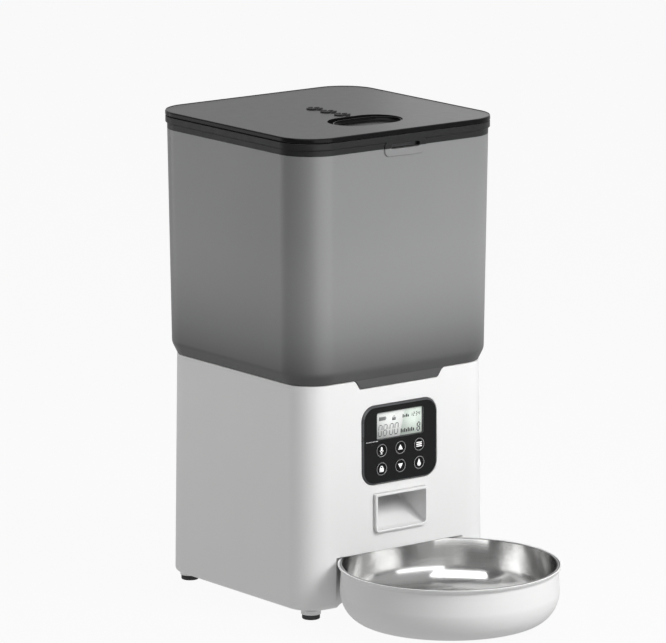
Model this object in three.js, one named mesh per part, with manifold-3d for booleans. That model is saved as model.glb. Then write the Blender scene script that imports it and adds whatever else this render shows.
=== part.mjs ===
// Automatic pet feeder for dry food. Millimetres, +Z up, the bowl is on the -Y side.
// The pieces are drawn about the vertical axis of the tank, and the outer group then centres the whole object.
import * as THREE from "three";
import { mergeVertices } from "three/addons/utils/BufferGeometryUtils.js";
import Module from "manifold-3d";

const wasm = await Module();
wasm.setup();

// ---- driving dimensions ----
const GAP = 0.3; // running gap between pieces that meet
const WALL = 2.5; // moulded wall of the base

// heights in the drawing
const GROUND = -1.2; // the surface that the feeder stands on
const PAD_TOP = 2.7;
const BASE_BOTTOM = 6.6;
const DECK_BOTTOM = 148;
const SEAM = 176.5; // top edge of the base, where the tank starts
const SHOULDER = 185.3; // top of the tank's chamfered foot
const COLLAR_BOTTOM = 353.7;
const COLLAR_TOP = 358.5;
const LID_TOP = 362.7;

// half widths and corner radii of the square outlines
const LID_HALF = 95;
const LID_CORNER = 29;
const COLLAR_HALF = 94.9;
const TANK_TOP_HALF = 94;
const TANK_FOOT_HALF = 92.1;
const TANK_FLOOR_HALF = 88;
const TANK_WALL = 2.2;
const BASE_TOP_HALF = 87.26;
const BASE_FOOT_HALF = 88.94;
const BASE_CORNER = 21.7;
const BASE_EDGE = 4; // rounding of the base's bottom edge

// bowl and its holder
const BOWL_Y = -148.1; // axis of the bowl
const HOLDER_RIM = 82.9;
const HOLDER_WALL = 81.3;
const HOLDER_TOP = 44;
const HOLDER_BOTTOM = 1.9;
const BOWL_OUTER = 78.2; // of the lower wall, which opens out to BOWL_MOUTH
const BOWL_MOUTH = 80.2;
const BOWL_SHEET = 0.8;
const RECESS_R = 84.5; // hollow of the base that the bowl docks in
const RECESS_TOP = 45;

// control panel on the front wall
const PANEL_HALF = 35.3;
const PANEL_BOTTOM = 95.6;
const PANEL_TOP = 155.6;
const PANEL_CORNER = 11.5;
const PANEL_FACE_Y = -88.9;
const PANEL_SHEET = 2.2;
const LCD_HALF = 21.7;
const LCD_BOTTOM = 129.7;
const LCD_TOP = 149.7;
const BUTTON_R = 4.9;
const BUTTON_X = [-17.7, 0, 17.7];
const BUTTON_Z = [121.2, 107.3];

// food chute
const CHUTE_HALF = 24.5;
const CHUTE_WALL = 1.8;
const CHUTE_BOTTOM = 59.3;
const CHUTE_TOP = 88.7;
const CHUTE_FACE_Y = -91.2;

// dispensing parts on the tank's axis
const CUP_R = 57.5;
const CUP_BOTTOM = 151;
const CUP_TOP = 182;
const ROTOR_R = 54.5;
const VANES = 6;
const SHAFT_HEX_R = 6;

// gear train: the output gear is on the tank's axis, the idler and the motor stand behind it
const MODULE = 1.2;
const GEAR_TEETH = 30;
const PINION_TEETH = 10;
const GEAR_STEP = (MODULE * (GEAR_TEETH + PINION_TEETH)) / 2;
const PRESSURE_ANGLE = THREE.MathUtils.degToRad(20);

// underside
const FOOT_X = 74;
const FOOT_Y = 76;
const FOOT_R = 6.7;
const BAY_HALF = 54; // three D cells side by side
const BAY_FRONT = 8.5;
const BAY_BACK = 75.5;
const BAY_TOP = 45;

// lid
const OPENING_FRONT = -66;
const OPENING_BACK = -26;
const OPENING_HALF = 30;
const PLUG_HALF = 90.6;
const PLUG_BOTTOM = 348.7;
const LATCH_TRAVEL = 5.5;
const SLOT_HALF = 13;
const SLOT_BOTTOM = 348.2;
const SLOT_TOP = 352;
const DESICCANT_Y = 35;

// ---- shape helpers ----

// A rounded rectangle as a THREE.Shape, anticlockwise.
function roundedRect(x0, x1, y0, y1, r) {
  const s = new THREE.Shape();
  s.absarc(x1 - r, y0 + r, r, -Math.PI / 2, 0);
  s.absarc(x1 - r, y1 - r, r, 0, Math.PI / 2);
  s.absarc(x0 + r, y1 - r, r, Math.PI / 2, Math.PI);
  s.absarc(x0 + r, y0 + r, r, Math.PI, 1.5 * Math.PI);
  return s;
}

const square = (half, r) => roundedRect(-half, half, -half, half, r);

const polygon = (points) => new THREE.Shape(points.map(([x, y]) => new THREE.Vector2(x, y)));

// A shape drawn in (x, y), raised from z0 to z1.
function slab(shape, z0, z1, curveSegments = 3) {
  const g = new THREE.ExtrudeGeometry(shape, { depth: z1 - z0, bevelEnabled: false, curveSegments });
  return g.translate(0, 0, z0);
}

// A shape drawn in (x, z) as seen from the front, standing from y0 back to y1.
function frontPlate(shape, y0, y1, curveSegments = 3) {
  const g = slab(shape, 0, y1 - y0, curveSegments);
  return g.rotateX(Math.PI / 2).translate(0, y1, 0);
}

// A side outline drawn in (y, z), spread from x0 to x1.
function sidePlate(shape, x0, x1) {
  const turn = new THREE.Matrix4().makeBasis(
    new THREE.Vector3(0, 1, 0),
    new THREE.Vector3(0, 0, 1),
    new THREE.Vector3(1, 0, 0),
  );
  return slab(shape, 0, x1 - x0).applyMatrix4(turn).translate(x0, 0, 0);
}

function box(x0, x1, y0, y1, z0, z1) {
  const g = new THREE.BoxGeometry(x1 - x0, y1 - y0, z1 - z0);
  return g.translate((x0 + x1) / 2, (y0 + y1) / 2, (z0 + z1) / 2);
}

// An upright cylinder.
function post(x, y, r, z0, z1, sides = 16) {
  const g = new THREE.CylinderGeometry(r, r, z1 - z0, sides).rotateX(Math.PI / 2);
  return g.translate(x, y, (z0 + z1) / 2);
}

// A cylinder along Y.
function dowel(x, z, r, y0, y1, sides = 16) {
  return new THREE.CylinderGeometry(r, r, y1 - y0, sides).translate(x, (y0 + y1) / 2, z);
}

// A profile of [radius, height] points turned about the Z axis at (x, y).
function turned(profile, x, y, sides = 32) {
  const points = profile.map(([r, z]) => new THREE.Vector2(r, z));
  return new THREE.LatheGeometry(points, sides).rotateX(Math.PI / 2).translate(x, y, 0);
}

// A body through level rounded squares, given from the bottom up as [height, half width, corner radius].
function loft(sections, cornerSegments = 3) {
  const rings = sections.map(([z, half, r]) =>
    square(half, r).getPoints(cornerSegments).map((p) => new THREE.Vector3(p.x, p.y, z)),
  );
  const n = rings[0].length;
  const last = (rings.length - 1) * n;
  const index = [];
  for (let i = 0; i < rings.length - 1; i++) {
    for (let j = 0; j < n; j++) {
      const a = i * n + j;
      const b = i * n + ((j + 1) % n);
      index.push(a, b, b + n, a, b + n, a + n);
    }
  }
  for (let j = 1; j < n - 1; j++) {
    index.push(0, j + 1, j, last, last + j, last + j + 1);
  }
  return new THREE.BufferGeometry().setFromPoints(rings.flat()).setIndex(index);
}

// A round bar along a curve.
function rod(curve, r, steps, sides = 8) {
  const section = new THREE.Shape().absarc(0, 0, r, 0, 2 * Math.PI);
  return new THREE.ExtrudeGeometry(section, { extrudePath: curve, steps, curveSegments: sides / 2 });
}

// ---- solid helpers ----

function toSolid(geometry) {
  const bare = geometry.clone().deleteAttribute("normal").deleteAttribute("uv");
  const merged = mergeVertices(bare, 1e-4);
  const triVerts = new Uint32Array(merged.index.array);
  return new wasm.Manifold(
    new wasm.Mesh({ numProp: 3, vertProperties: merged.attributes.position.array, triVerts }),
  );
}

function toGeometry(solid) {
  const mesh = solid.getMesh();
  const g = new THREE.BufferGeometry();
  g.setAttribute("position", new THREE.BufferAttribute(mesh.vertProperties, 3));
  return g.setIndex(new THREE.BufferAttribute(mesh.triVerts, 1));
}

const join = (first, ...others) =>
  toGeometry(others.reduce((all, g) => all.add(toSolid(g)), toSolid(first)));

const cut = (first, ...others) =>
  toGeometry(others.reduce((all, g) => all.subtract(toSolid(g)), toSolid(first)));

const meet = (first, second) => toGeometry(toSolid(first).intersect(toSolid(second)));

// ---- base ----

// Half width of the base's outer face at a height.
const baseHalf = (z) =>
  THREE.MathUtils.mapLinear(z, BASE_BOTTOM + BASE_EDGE, SEAM, BASE_FOOT_HALF, BASE_TOP_HALF);

// The base's outline, inset from its outer face, with the rounded bottom edge, from z0 to z1.
function baseBody(inset, z0, z1) {
  const sections = [[z0, BASE_FOOT_HALF - BASE_EDGE - inset, BASE_CORNER - BASE_EDGE - inset]];
  const steps = 3;
  for (let k = 1; k <= steps; k++) {
    const a = (k / steps) * (Math.PI / 2);
    const less = BASE_EDGE * (1 - Math.sin(a)) + inset;
    const z = BASE_BOTTOM + BASE_EDGE * (1 - Math.cos(a));
    sections.push([z, BASE_FOOT_HALF - less, BASE_CORNER - less]);
  }
  sections.push([z1, BASE_TOP_HALF - inset, BASE_CORNER - inset]);
  return loft(sections);
}

// The tank's front tongue, and the notch for it in the base's front wall.
function tongueShape(grow) {
  const top = SEAM + 1;
  const bottom = 170 - grow;
  const outline = [[-43, top], [-39.9, 175.4], [-36.4, bottom], [36.4, bottom], [39.9, 175.4], [43, top]];
  return polygon(outline.map(([x, z]) => [x + Math.sign(x) * grow, z]).reverse());
}

const bossPlaces = [[-78, -45], [78, -45], [-78, 40], [78, 40]];
const jackX = 58;
const jackZ = 62;
const speakerX = -48;
const speakerZ = 115;

function housing() {
  const recess = post(0, BOWL_Y, RECESS_R, 0, RECESS_TOP, 36);
  const recessWall = post(0, BOWL_Y, RECESS_R + WALL, 0, RECESS_TOP + WALL, 36);
  const hollow = cut(baseBody(WALL, BASE_BOTTOM - 1, SEAM + 1), recessWall);
  const panelHole = roundedRect(
    -PANEL_HALF - GAP, PANEL_HALF + GAP, PANEL_BOTTOM - GAP, PANEL_TOP + GAP, PANEL_CORNER + GAP,
  );
  const chuteHole = box(
    -CHUTE_HALF - GAP, CHUTE_HALF + GAP, -95, -80, CHUTE_BOTTOM - GAP, CHUTE_TOP + GAP,
  );
  let shell = cut(
    baseBody(0, BASE_BOTTOM, SEAM),
    recess,
    hollow,
    frontPlate(panelHole, -95, -80),
    chuteHole,
    frontPlate(tongueShape(1.5 * GAP), -95, -80),
    dowel(jackX, jackZ, 5.4, 80, 95, 20),
  );
  const bosses = bossPlaces.flatMap(([x, y]) => {
    const out = Math.sign(x);
    const wallX = out * (BASE_FOOT_HALF - WALL + 0.4);
    const ribX = [out * 80, wallX].sort((a, b) => a - b);
    return [post(x, y, 4.5, 10.2, 40, 12), box(ribX[0], ribX[1], y - 1, y + 1, 12, 38)];
  });
  shell = join(shell, ...bosses);
  const screwHoles = bossPlaces.map(([x, y]) => post(x, y, 1.9, 9, 24, 8));
  const grille = [dowel(speakerX, speakerZ, 1.6, 80, 95, 8)];
  for (let k = 0; k < 6; k++) {
    const a = (k * Math.PI) / 3;
    grille.push(dowel(speakerX + 7 * Math.cos(a), speakerZ + 7 * Math.sin(a), 1.6, 80, 95, 8));
  }
  return cut(shell, ...screwHoles, ...grille);
}

// The hole that lets a portion fall, seen from above.
const outletShape = (grow) =>
  polygon([
    [-20 - grow, -50 - grow],
    [20 + grow, -50 - grow],
    [12 + grow, -27 + grow],
    [-12 - grow, -27 + grow],
  ]);

function deck() {
  const half = 84.2;
  const front = -79;
  const sheet = 2.2;
  const tray = slab(roundedRect(-half, half, front, half, 18.6), DECK_BOTTOM, 172);
  const room = roundedRect(-half + sheet, half - sheet, front + sheet, half - sheet, 16.4);
  return cut(
    tray,
    slab(room, DECK_BOTTOM + sheet, 173),
    slab(outletShape(1), DECK_BOTTOM - 1, DECK_BOTTOM + 3),
    post(0, 0, 8, DECK_BOTTOM - 1, DECK_BOTTOM + 3),
  );
}

// The channel from under the deck down to the front, with a raised frame round its mouth.
function chute() {
  const outside = polygon([
    [-22.7, 147.7],
    [-55.3, 147.7],
    [-55.3, 112.6],
    [-70.5, 93.9],
    [-82, CHUTE_TOP],
    [CHUTE_FACE_Y, CHUTE_TOP],
    [CHUTE_FACE_Y, CHUTE_BOTTOM],
    [-84, CHUTE_BOTTOM],
    [-46.5, 79.2],
    [-22.7, 117.4],
  ]);
  const inside = polygon([
    [-24.5, 149],
    [-53.5, 149],
    [-53.5, 112],
    [-69.3, 92.4],
    [-81.6, CHUTE_TOP - CHUTE_WALL],
    [-92, CHUTE_TOP - CHUTE_WALL],
    [-92, 61.1],
    [-88, 61.1],
    [-47.6, 81.6],
    [-24.5, 118],
  ]);
  const inner = CHUTE_HALF - CHUTE_WALL;
  return cut(sidePlate(outside, -CHUTE_HALF, CHUTE_HALF), sidePlate(inside, -inner, inner));
}

function bottomCover() {
  const bottom = 7.2;
  const top = 9.7;
  const half = 82;
  const bayWall = 2;
  const plate = slab(square(half, 15), bottom, top);
  const bay = box(
    -BAY_HALF - bayWall, BAY_HALF + bayWall, BAY_FRONT - bayWall, BAY_BACK + bayWall, bottom, BAY_TOP + bayWall,
  );
  const feet = [];
  for (const x of [-FOOT_X, FOOT_X]) {
    for (const y of [-FOOT_Y, FOOT_Y]) {
      feet.push(post(x, y, FOOT_R + 0.7, PAD_TOP + GAP, BASE_BOTTOM - GAP, 20));
      feet.push(post(x, y, 3.2, BASE_BOTTOM - 1, bottom + 0.5, 12));
    }
  }
  const rails = [];
  for (const side of [-1, 1]) {
    const [a, b, c] = [side * 55.4, side * 57.4, side * 59.4];
    rails.push(box(Math.min(b, c), Math.max(b, c), 5, 79, 3.5, bottom + 0.5));
    rails.push(box(Math.min(a, c), Math.max(a, c), 5, 79, 3.5, 4));
  }
  return cut(
    join(plate, bay, ...feet, ...rails),
    post(0, BOWL_Y, RECESS_R + WALL + 2 * GAP, 0, 20, 36),
    box(-BAY_HALF, BAY_HALF, BAY_FRONT, BAY_BACK, 0, BAY_TOP),
    ...bossPlaces.map(([x, y]) => post(x, y, 1.9, 0, 20, 8)),
  );
}

function batteryDoor() {
  const plate = slab(roundedRect(-57, 57, 5, 79, 2), 4.4, 6.2, 1);
  const gripRibs = [60, 64, 68, 72].map((y) => box(-15, 15, y, y + 1.2, 3.6, 4.5));
  return join(plate, ...gripRibs);
}

// A contact plate across the battery bay, with a spring or a dome for each of the three cells.
function contactPlate(y, towards, length, wide, narrow) {
  const plate = box(-50, 50, y - 0.3, y + 0.3, 14, 40);
  const springs = [-35, 0, 35].map((x) => {
    const g = new THREE.CylinderGeometry(towards > 0 ? narrow : wide, towards > 0 ? wide : narrow, length, 12);
    return g.translate(x, y + (towards * length) / 2, 27);
  });
  return join(plate, ...springs);
}

function screw(x, y) {
  return turned([[0, 5], [2.4, 5], [3, 5.6], [3, 6.9], [1.4, 6.9], [1.4, 20], [0, 20.8]], x, y, 12);
}

const footPad = (x, y, r, top) =>
  turned([[0, GROUND], [r - 0.5, GROUND], [r, GROUND + 0.5], [r, top], [0, top]], x, y, 20);

// ---- control panel ----

function controlPanel() {
  const outline = (grow) =>
    roundedRect(
      -PANEL_HALF - grow, PANEL_HALF + grow, PANEL_BOTTOM - grow, PANEL_TOP + grow, PANEL_CORNER + grow,
    );
  const flangeY = -84.6;
  const backY = -83;
  const face = frontPlate(outline(0), PANEL_FACE_Y, flangeY + 0.5);
  const flange = frontPlate(outline(2.9), flangeY, backY);
  const room = frontPlate(outline(-2.6), PANEL_FACE_Y + PANEL_SHEET, backY + 1);
  const lcdHole = roundedRect(-LCD_HALF - GAP, LCD_HALF + GAP, LCD_BOTTOM - GAP, LCD_TOP + GAP, 1.5);
  const holes = BUTTON_Z.flatMap((z) => BUTTON_X.map((x) => dowel(x, z, BUTTON_R + GAP, -95, -80, 14)));
  return cut(
    join(face, flange),
    room,
    frontPlate(lcdHole, -95, -80, 1),
    dowel(-26.5, 126.4, 0.7, -95, -80, 8),
    ...holes,
  );
}

const lcdWindow = () =>
  frontPlate(roundedRect(-LCD_HALF, LCD_HALF, LCD_BOTTOM, LCD_TOP, 1.2), -88.8, -87.6, 1);

const lcdModule = () =>
  frontPlate(roundedRect(-LCD_HALF, LCD_HALF, LCD_BOTTOM, LCD_TOP, 1.2), -87.3, -83.6, 1);

function button(x, z) {
  const cap = dowel(x, z, BUTTON_R, -89.2, -86, 14);
  const flange = dowel(x, z, BUTTON_R + 1.2, -86.3, -85.3, 14);
  const stem = dowel(x, z, 2, -85.6, -83.6, 6);
  return join(cap, flange, stem);
}

function buttonBoard() {
  const board = box(-31, 31, -82.4, -80.8, 97.5, 154.5);
  const switches = BUTTON_Z.flatMap((z) => BUTTON_X.map((x) => box(x - 3, x + 3, -83, -82, z - 3, z + 3)));
  return join(board, ...switches);
}

// ---- electrical parts in the base ----

function mainBoard() {
  const board = box(-45, 45, 15, 75, 52, 53.6);
  const parts = [
    box(-10, 8, 30, 48, 53, 56),
    box(-38, -24, 22, 34, 53, 62),
    box(24, 38, 55, 70, 53, 60),
    post(28, 26, 5, 53, 66, 12),
    post(15, 26, 4, 53, 63, 12),
  ];
  return join(board, ...parts);
}

function speaker() {
  const magnet = dowel(speakerX, speakerZ, 10, 70, 76, 20);
  const basket = dowel(speakerX, speakerZ, 18, 75.5, 83, 24);
  const cone = new THREE.CylinderGeometry(16, 6, 5, 20).translate(speakerX, 81, speakerZ);
  return cut(join(magnet, basket), cone);
}

const microphone = () => dowel(-26.5, 126.4, 3, -86.3, -83.6, 16);

function powerJack() {
  const body = box(jackX - 5.5, jackX + 5.5, 73, 84.4, jackZ - 5.5, jackZ + 5.5);
  const collar = dowel(jackX, jackZ, 5, 84, 88.2, 20);
  const bore = dowel(jackX, jackZ, 3.1, 78, 90, 16);
  const pin = dowel(jackX, jackZ, 1, 77, 87, 8);
  return join(cut(join(body, collar), bore), pin);
}

// ---- drive ----

// A spur gear outline with a tooth centred on the angle toothAt.
function gearShape(teeth, toothAt) {
  const pitch = (teeth * MODULE) / 2;
  const base = pitch * Math.cos(PRESSURE_ANGLE);
  const involute = (r) => {
    const a = Math.acos(Math.min(1, base / r));
    return Math.tan(a) - a;
  };
  const backlash = 0.14;
  const half = (r) => (Math.PI / 2 - backlash) / teeth + involute(pitch) - involute(Math.max(r, base));
  const radii = [pitch - 1.0 * MODULE, pitch, pitch + 0.66 * MODULE];
  const points = [];
  for (let k = 0; k < teeth; k++) {
    const middle = toothAt + (k * 2 * Math.PI) / teeth;
    radii.forEach((r) => points.push([r, middle - half(r)]));
    [...radii].reverse().forEach((r) => points.push([r, middle + half(r)]));
  }
  return polygon(points.map(([r, a]) => [r * Math.cos(a), r * Math.sin(a)]));
}

const hexagon = (r) =>
  polygon([0, 1, 2, 3, 4, 5].map((k) => [r * Math.cos((k * Math.PI) / 3), r * Math.sin((k * Math.PI) / 3)]));

// A pinion and the gear that drives it share the line between their axes: a tooth faces a gap.
const TOOTH_BEHIND = Math.PI / 2;
const GAP_IN_FRONT = -Math.PI / 2 + Math.PI / PINION_TEETH;

const outputGear = () => cut(slab(gearShape(GEAR_TEETH, TOOTH_BEHIND), 133, 140), slab(hexagon(SHAFT_HEX_R + GAP), 132, 141));

function driveShaft() {
  const journal = post(0, 0, 3.4, 121.4, 131.2, 12);
  const shoulder = post(0, 0, 7.5, 131, 132.7, 16);
  return join(journal, shoulder, slab(hexagon(SHAFT_HEX_R), 132.5, 158.5));
}

function idlerGear() {
  const wheel = slab(gearShape(GEAR_TEETH, TOOTH_BEHIND), 124, 130);
  const pinion = slab(gearShape(PINION_TEETH, GAP_IN_FRONT), 129.5, 141);
  return cut(join(wheel, pinion), post(0, 0, 1.9, 120, 142, 10)).translate(0, GEAR_STEP, 0);
}

function motorPinion() {
  const pinion = slab(gearShape(PINION_TEETH, GAP_IN_FRONT), 123, 131);
  return join(pinion, post(0, 0, 1.5, 118.9, 132, 10)).translate(0, 2 * GEAR_STEP, 0);
}

function gearboxCase() {
  const outline = (grow) => roundedRect(-20 - grow, 20 + grow, -20 - grow, 58.4 + grow, 19.8 + grow);
  const walls = cut(
    slab(outline(1.6), 119, 142.8),
    slab(outline(0), 121, 144),
    post(0, 2 * GEAR_STEP, 2.2, 118, 122, 10),
  );
  return join(walls, post(0, GEAR_STEP, 1.5, 120.5, 142, 10));
}

const gearboxCover = () =>
  cut(slab(roundedRect(-21.6, 21.6, -21.6, 60, 21.4), 143.2, 145.2), post(0, 0, 6.9, 142, 146, 16));

function motor() {
  const can = turned([[0, 82], [12.5, 82], [14, 83.5], [14, 117.2], [13, 118.6], [0, 118.6]], 0, 2 * GEAR_STEP, 20);
  const tags = [-6, 6].map((x) => box(x - 1.2, x + 1.2, 2 * GEAR_STEP - 0.4, 2 * GEAR_STEP + 0.4, 77, 83));
  return join(can, ...tags);
}

// ---- tank ----

function tankShell() {
  const floor = SEAM + GAP;
  const outer = loft([
    [floor, TANK_FLOOR_HALF, 25],
    [SHOULDER, TANK_FOOT_HALF, LID_CORNER],
    [COLLAR_BOTTOM - 0.4, TANK_TOP_HALF, LID_CORNER],
    [COLLAR_BOTTOM, COLLAR_HALF, LID_CORNER],
    [COLLAR_TOP, COLLAR_HALF, LID_CORNER],
  ]);
  const corner = LID_CORNER - TANK_WALL;
  const inner = loft([
    [floor + WALL, TANK_FLOOR_HALF - 1.5, 23.5],
    [SHOULDER + 1.2, TANK_FOOT_HALF - TANK_WALL, corner],
    [COLLAR_TOP + 1, TANK_TOP_HALF - TANK_WALL, corner],
  ]);
  const tongue = frontPlate(tongueShape(0), -TANK_FLOOR_HALF, -85.4);
  const tabBottom = 342.7;
  const tab = roundedRect(-19.3, 19.3, tabBottom, COLLAR_BOTTOM + 1, 4.5);
  const slot = box(-SLOT_HALF, SLOT_HALF, -97, -88, SLOT_BOTTOM, SLOT_TOP);
  return cut(
    join(outer, tongue, frontPlate(tab, -LID_HALF, -TANK_TOP_HALF + 1)),
    inner,
    slot,
    post(0, 0, CUP_R + 0.7, SEAM - 1, SHOULDER, 36),
  );
}

function funnel() {
  const top = 206;
  const neck = CUP_TOP + 0.4;
  const outer = loft([[neck, 58.5, 58.4], [top, 89.3, 26]]);
  const inner = loft([[neck - 0.1, 56, 55.9], [top + 0.1, 87, 24]]);
  return cut(outer, inner);
}

function meteringCup() {
  const sheet = 2;
  const under = CUP_TOP - 2.1;
  const cup = turned(
    [
      [8, CUP_BOTTOM],
      [CUP_R, CUP_BOTTOM],
      [CUP_R, under],
      [CUP_R + 5.5, under],
      [CUP_R + 5.5, CUP_TOP],
      [CUP_R - sheet, CUP_TOP],
      [CUP_R - sheet, CUP_BOTTOM + sheet],
      [8, CUP_BOTTOM + sheet],
      [8, CUP_BOTTOM],
    ],
    0, 0, 36,
  );
  return cut(cup, slab(outletShape(0), CUP_BOTTOM - 1, CUP_BOTTOM + sheet + 1));
}

// A sector of the cup's mouth that keeps the food above from falling straight through the outlet.
function sectorCover() {
  const s = new THREE.Shape();
  const spread = THREE.MathUtils.degToRad(34);
  s.absarc(0, 0, CUP_R - 2.5, -Math.PI / 2 - spread, -Math.PI / 2 + spread);
  s.absarc(0, 0, 11, -Math.PI / 2 + spread, -Math.PI / 2 - spread, true);
  return slab(s, 174.8, 176.6);
}

function wiper() {
  const blade = box(14, 54, -0.8, 0.8, 174.6, 177.8);
  return blade.translate(0, -1.4, 0).rotateZ(THREE.MathUtils.degToRad(-90 - 34));
}

function rotor() {
  const bottom = 153.5;
  const hub = post(0, 0, 9.5, bottom, 173.8, 24);
  const vanes = [];
  for (let k = 0; k < VANES; k++) {
    vanes.push(box(7, ROTOR_R, -1.5, 1.5, bottom, 173.8).rotateZ((k * 2 * Math.PI) / VANES));
  }
  return cut(join(hub, ...vanes), slab(hexagon(SHAFT_HEX_R + GAP), bottom - 1, 161));
}

function agitator() {
  const hub = post(0, 0, 6, 174.1, 186, 16);
  const arms = [-1, 1].map((side) => {
    const curve = new THREE.QuadraticBezierCurve3(
      new THREE.Vector3(0, 0, 181),
      new THREE.Vector3(side * 26, 0, 182),
      new THREE.Vector3(side * 34, side * 6, 204),
    );
    return rod(curve, 2, 6);
  });
  return join(hub, ...arms);
}

// ---- lid ----

const stadium = (half, front, back) =>
  roundedRect(-half, half, front, back, (back - front) / 2 - 0.01);

function lidTop() {
  const bottom = COLLAR_TOP + GAP;
  const plate = loft([
    [bottom, LID_HALF - 0.5, LID_CORNER - 0.5],
    [bottom + 0.6, LID_HALF, LID_CORNER],
    [LID_TOP - 0.9, LID_HALF, LID_CORNER],
    [LID_TOP, LID_HALF - 0.8, LID_CORNER - 0.8],
  ]);
  return cut(plate, slab(stadium(OPENING_HALF, OPENING_FRONT, OPENING_BACK), bottom - 1, LID_TOP + 1, 4));
}

// The tray under the lid that plugs the tank's mouth.
function lidLiner() {
  const corner = (half) => half - (TANK_TOP_HALF - LID_CORNER);
  const ring = (z, half) => [z, half, corner(half)];
  const grooveHalf = PLUG_HALF - 1.5;
  const outer = loft([
    ring(PLUG_BOTTOM, PLUG_HALF - 0.4),
    ring(PLUG_BOTTOM + 0.5, PLUG_HALF),
    ring(353, PLUG_HALF),
    ring(353.2, grooveHalf),
    ring(356.8, grooveHalf),
    ring(357, PLUG_HALF),
    ring(COLLAR_TOP, PLUG_HALF),
  ]);
  const room = slab(square(86.9, corner(86.9)), PLUG_BOTTOM + 2.2, COLLAR_TOP + 1);
  const boltPath = box(-SLOT_HALF, SLOT_HALF, -95, -76.8, PLUG_BOTTOM - 1, 352.8);
  const stop = box(-5, 5, -11.5, -9.5, PLUG_BOTTOM + 1, 358.2);
  return join(cut(outer, room, boltPath, post(0, DESICCANT_Y, 25.5, 340, 355, 32)), stop);
}

function lidSeal() {
  const outer = slab(square(91.35, 26.35), 353.6, 356.4);
  return cut(outer, slab(square(89.45, 24.45), 353, 357));
}

// The latch button has the opening's outline at its front and the same curve, moved forward, at its back.
function thumbSlab(inset, z0, z1) {
  const outline = stadium(OPENING_HALF - inset, OPENING_FRONT + inset, OPENING_BACK - inset);
  const whole = slab(outline, z0, z1, 4);
  return meet(whole, whole.clone().translate(0, -LATCH_TRAVEL - GAP, 0));
}

function latchButton() {
  const thumb = thumbSlab(0.5, 355.6, 361.5);
  const dish = thumbSlab(3.4, 360.5, 362);
  const flange = slab(roundedRect(-36, 36, -72, -27, 4), 355.6, 358, 2);
  const heel = box(-4, 4, -28.5, -27, 352.4, 356);
  return cut(join(thumb, flange, heel), dish);
}

function latchBolt() {
  const side = polygon([
    [-44, 355.3],
    [-86.2, 355.3],
    [-86.2, 351.7],
    [-91.3, 351.7],
    [-91.3, 349],
    [-83.2, 349],
    [-83.2, 351.7],
    [-44, 351.7],
  ]);
  return sidePlate(side, -12, 12);
}

function latchSpring() {
  const turns = 6;
  const [y0, y1] = [-26, -12.4];
  const points = [];
  for (let k = 0; k <= turns * 8; k++) {
    const a = (k * Math.PI) / 4;
    const y = THREE.MathUtils.lerp(y0, y1, k / (turns * 8));
    points.push(new THREE.Vector3(2.1 * Math.cos(a), y, 354.8 + 2.1 * Math.sin(a)));
  }
  return rod(new THREE.CatmullRomCurve3(points), 0.35, turns * 8, 4);
}

function desiccantCase() {
  return turned(
    [[0, 356.2], [23.4, 356.2], [23.4, 346.6], [28.5, 346.6], [28.5, 348.3], [25.1, 348.3], [25.1, 357.8], [0, 357.8]],
    0, DESICCANT_Y, 32,
  );
}

function desiccantCover() {
  const disc = post(0, 0, 28, 344.4, 346.2, 32);
  const grip = box(-14, 14, -1.5, 1.5, 342.6, 345);
  const vents = [];
  for (let k = 0; k < 8; k++) {
    vents.push(box(9, 20, -1.2, 1.2, 344, 347).rotateZ(((k + 0.5) * Math.PI) / 4));
  }
  return cut(join(disc, grip), ...vents).translate(0, DESICCANT_Y, 0);
}

// ---- bowl ----

// Points of a quarter ellipse from the flat bottom at [r - rx, z] up to the wall at [r, z + rz].
function quarter(r, z, rx, rz, steps) {
  const points = [];
  for (let k = 0; k <= steps; k++) {
    const a = (k / steps) * (Math.PI / 2);
    points.push([r - rx + rx * Math.sin(a), z + rz * (1 - Math.cos(a))]);
  }
  return points;
}

function bowlHolder() {
  const seat = HOLDER_TOP - 1.9;
  const dish = turned(
    [
      [0, HOLDER_BOTTOM],
      ...quarter(HOLDER_WALL, HOLDER_BOTTOM, 19.2, 22.8, 4),
      [HOLDER_WALL + 0.2, HOLDER_TOP - 4],
      [HOLDER_RIM, HOLDER_TOP],
      [HOLDER_RIM - 1.5, HOLDER_TOP],
      [HOLDER_RIM - 1.5, seat],
      [BOWL_MOUTH + 0.4, seat],
      ...quarter(BOWL_OUTER + 0.6, HOLDER_BOTTOM + 2.1, 20, 22, 4).reverse(),
      [0, HOLDER_BOTTOM + 2.1],
    ],
    0, BOWL_Y, 40,
  );
  const hook = box(-18, 18, -81.5, -52, 2.6, 5.2);
  return join(dish, hook);
}

function bowl() {
  const under = 6.2;
  const rim = HOLDER_TOP - 0.1;
  const inner = BOWL_OUTER - BOWL_SHEET;
  const flange = HOLDER_RIM - 1.9;
  return turned(
    [
      [0, under],
      ...quarter(BOWL_OUTER, under, 20, 20, 4),
      [BOWL_MOUTH, rim - 1.4],
      [flange - 0.3, rim - 1.4],
      [flange, rim - 0.7],
      [flange - 0.3, rim],
      [BOWL_MOUTH - BOWL_SHEET, rim],
      ...quarter(inner, under + BOWL_SHEET, 19.2, 19.2, 4).reverse(),
      [0, under + BOWL_SHEET],
    ],
    0, BOWL_Y, 40,
  );
}

// ---- materials ----

const plastic = (color, roughness) => new THREE.MeshStandardMaterial({ color, roughness, metalness: 0 });
const metal = (color, roughness) => new THREE.MeshStandardMaterial({ color, roughness, metalness: 1 });

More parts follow.
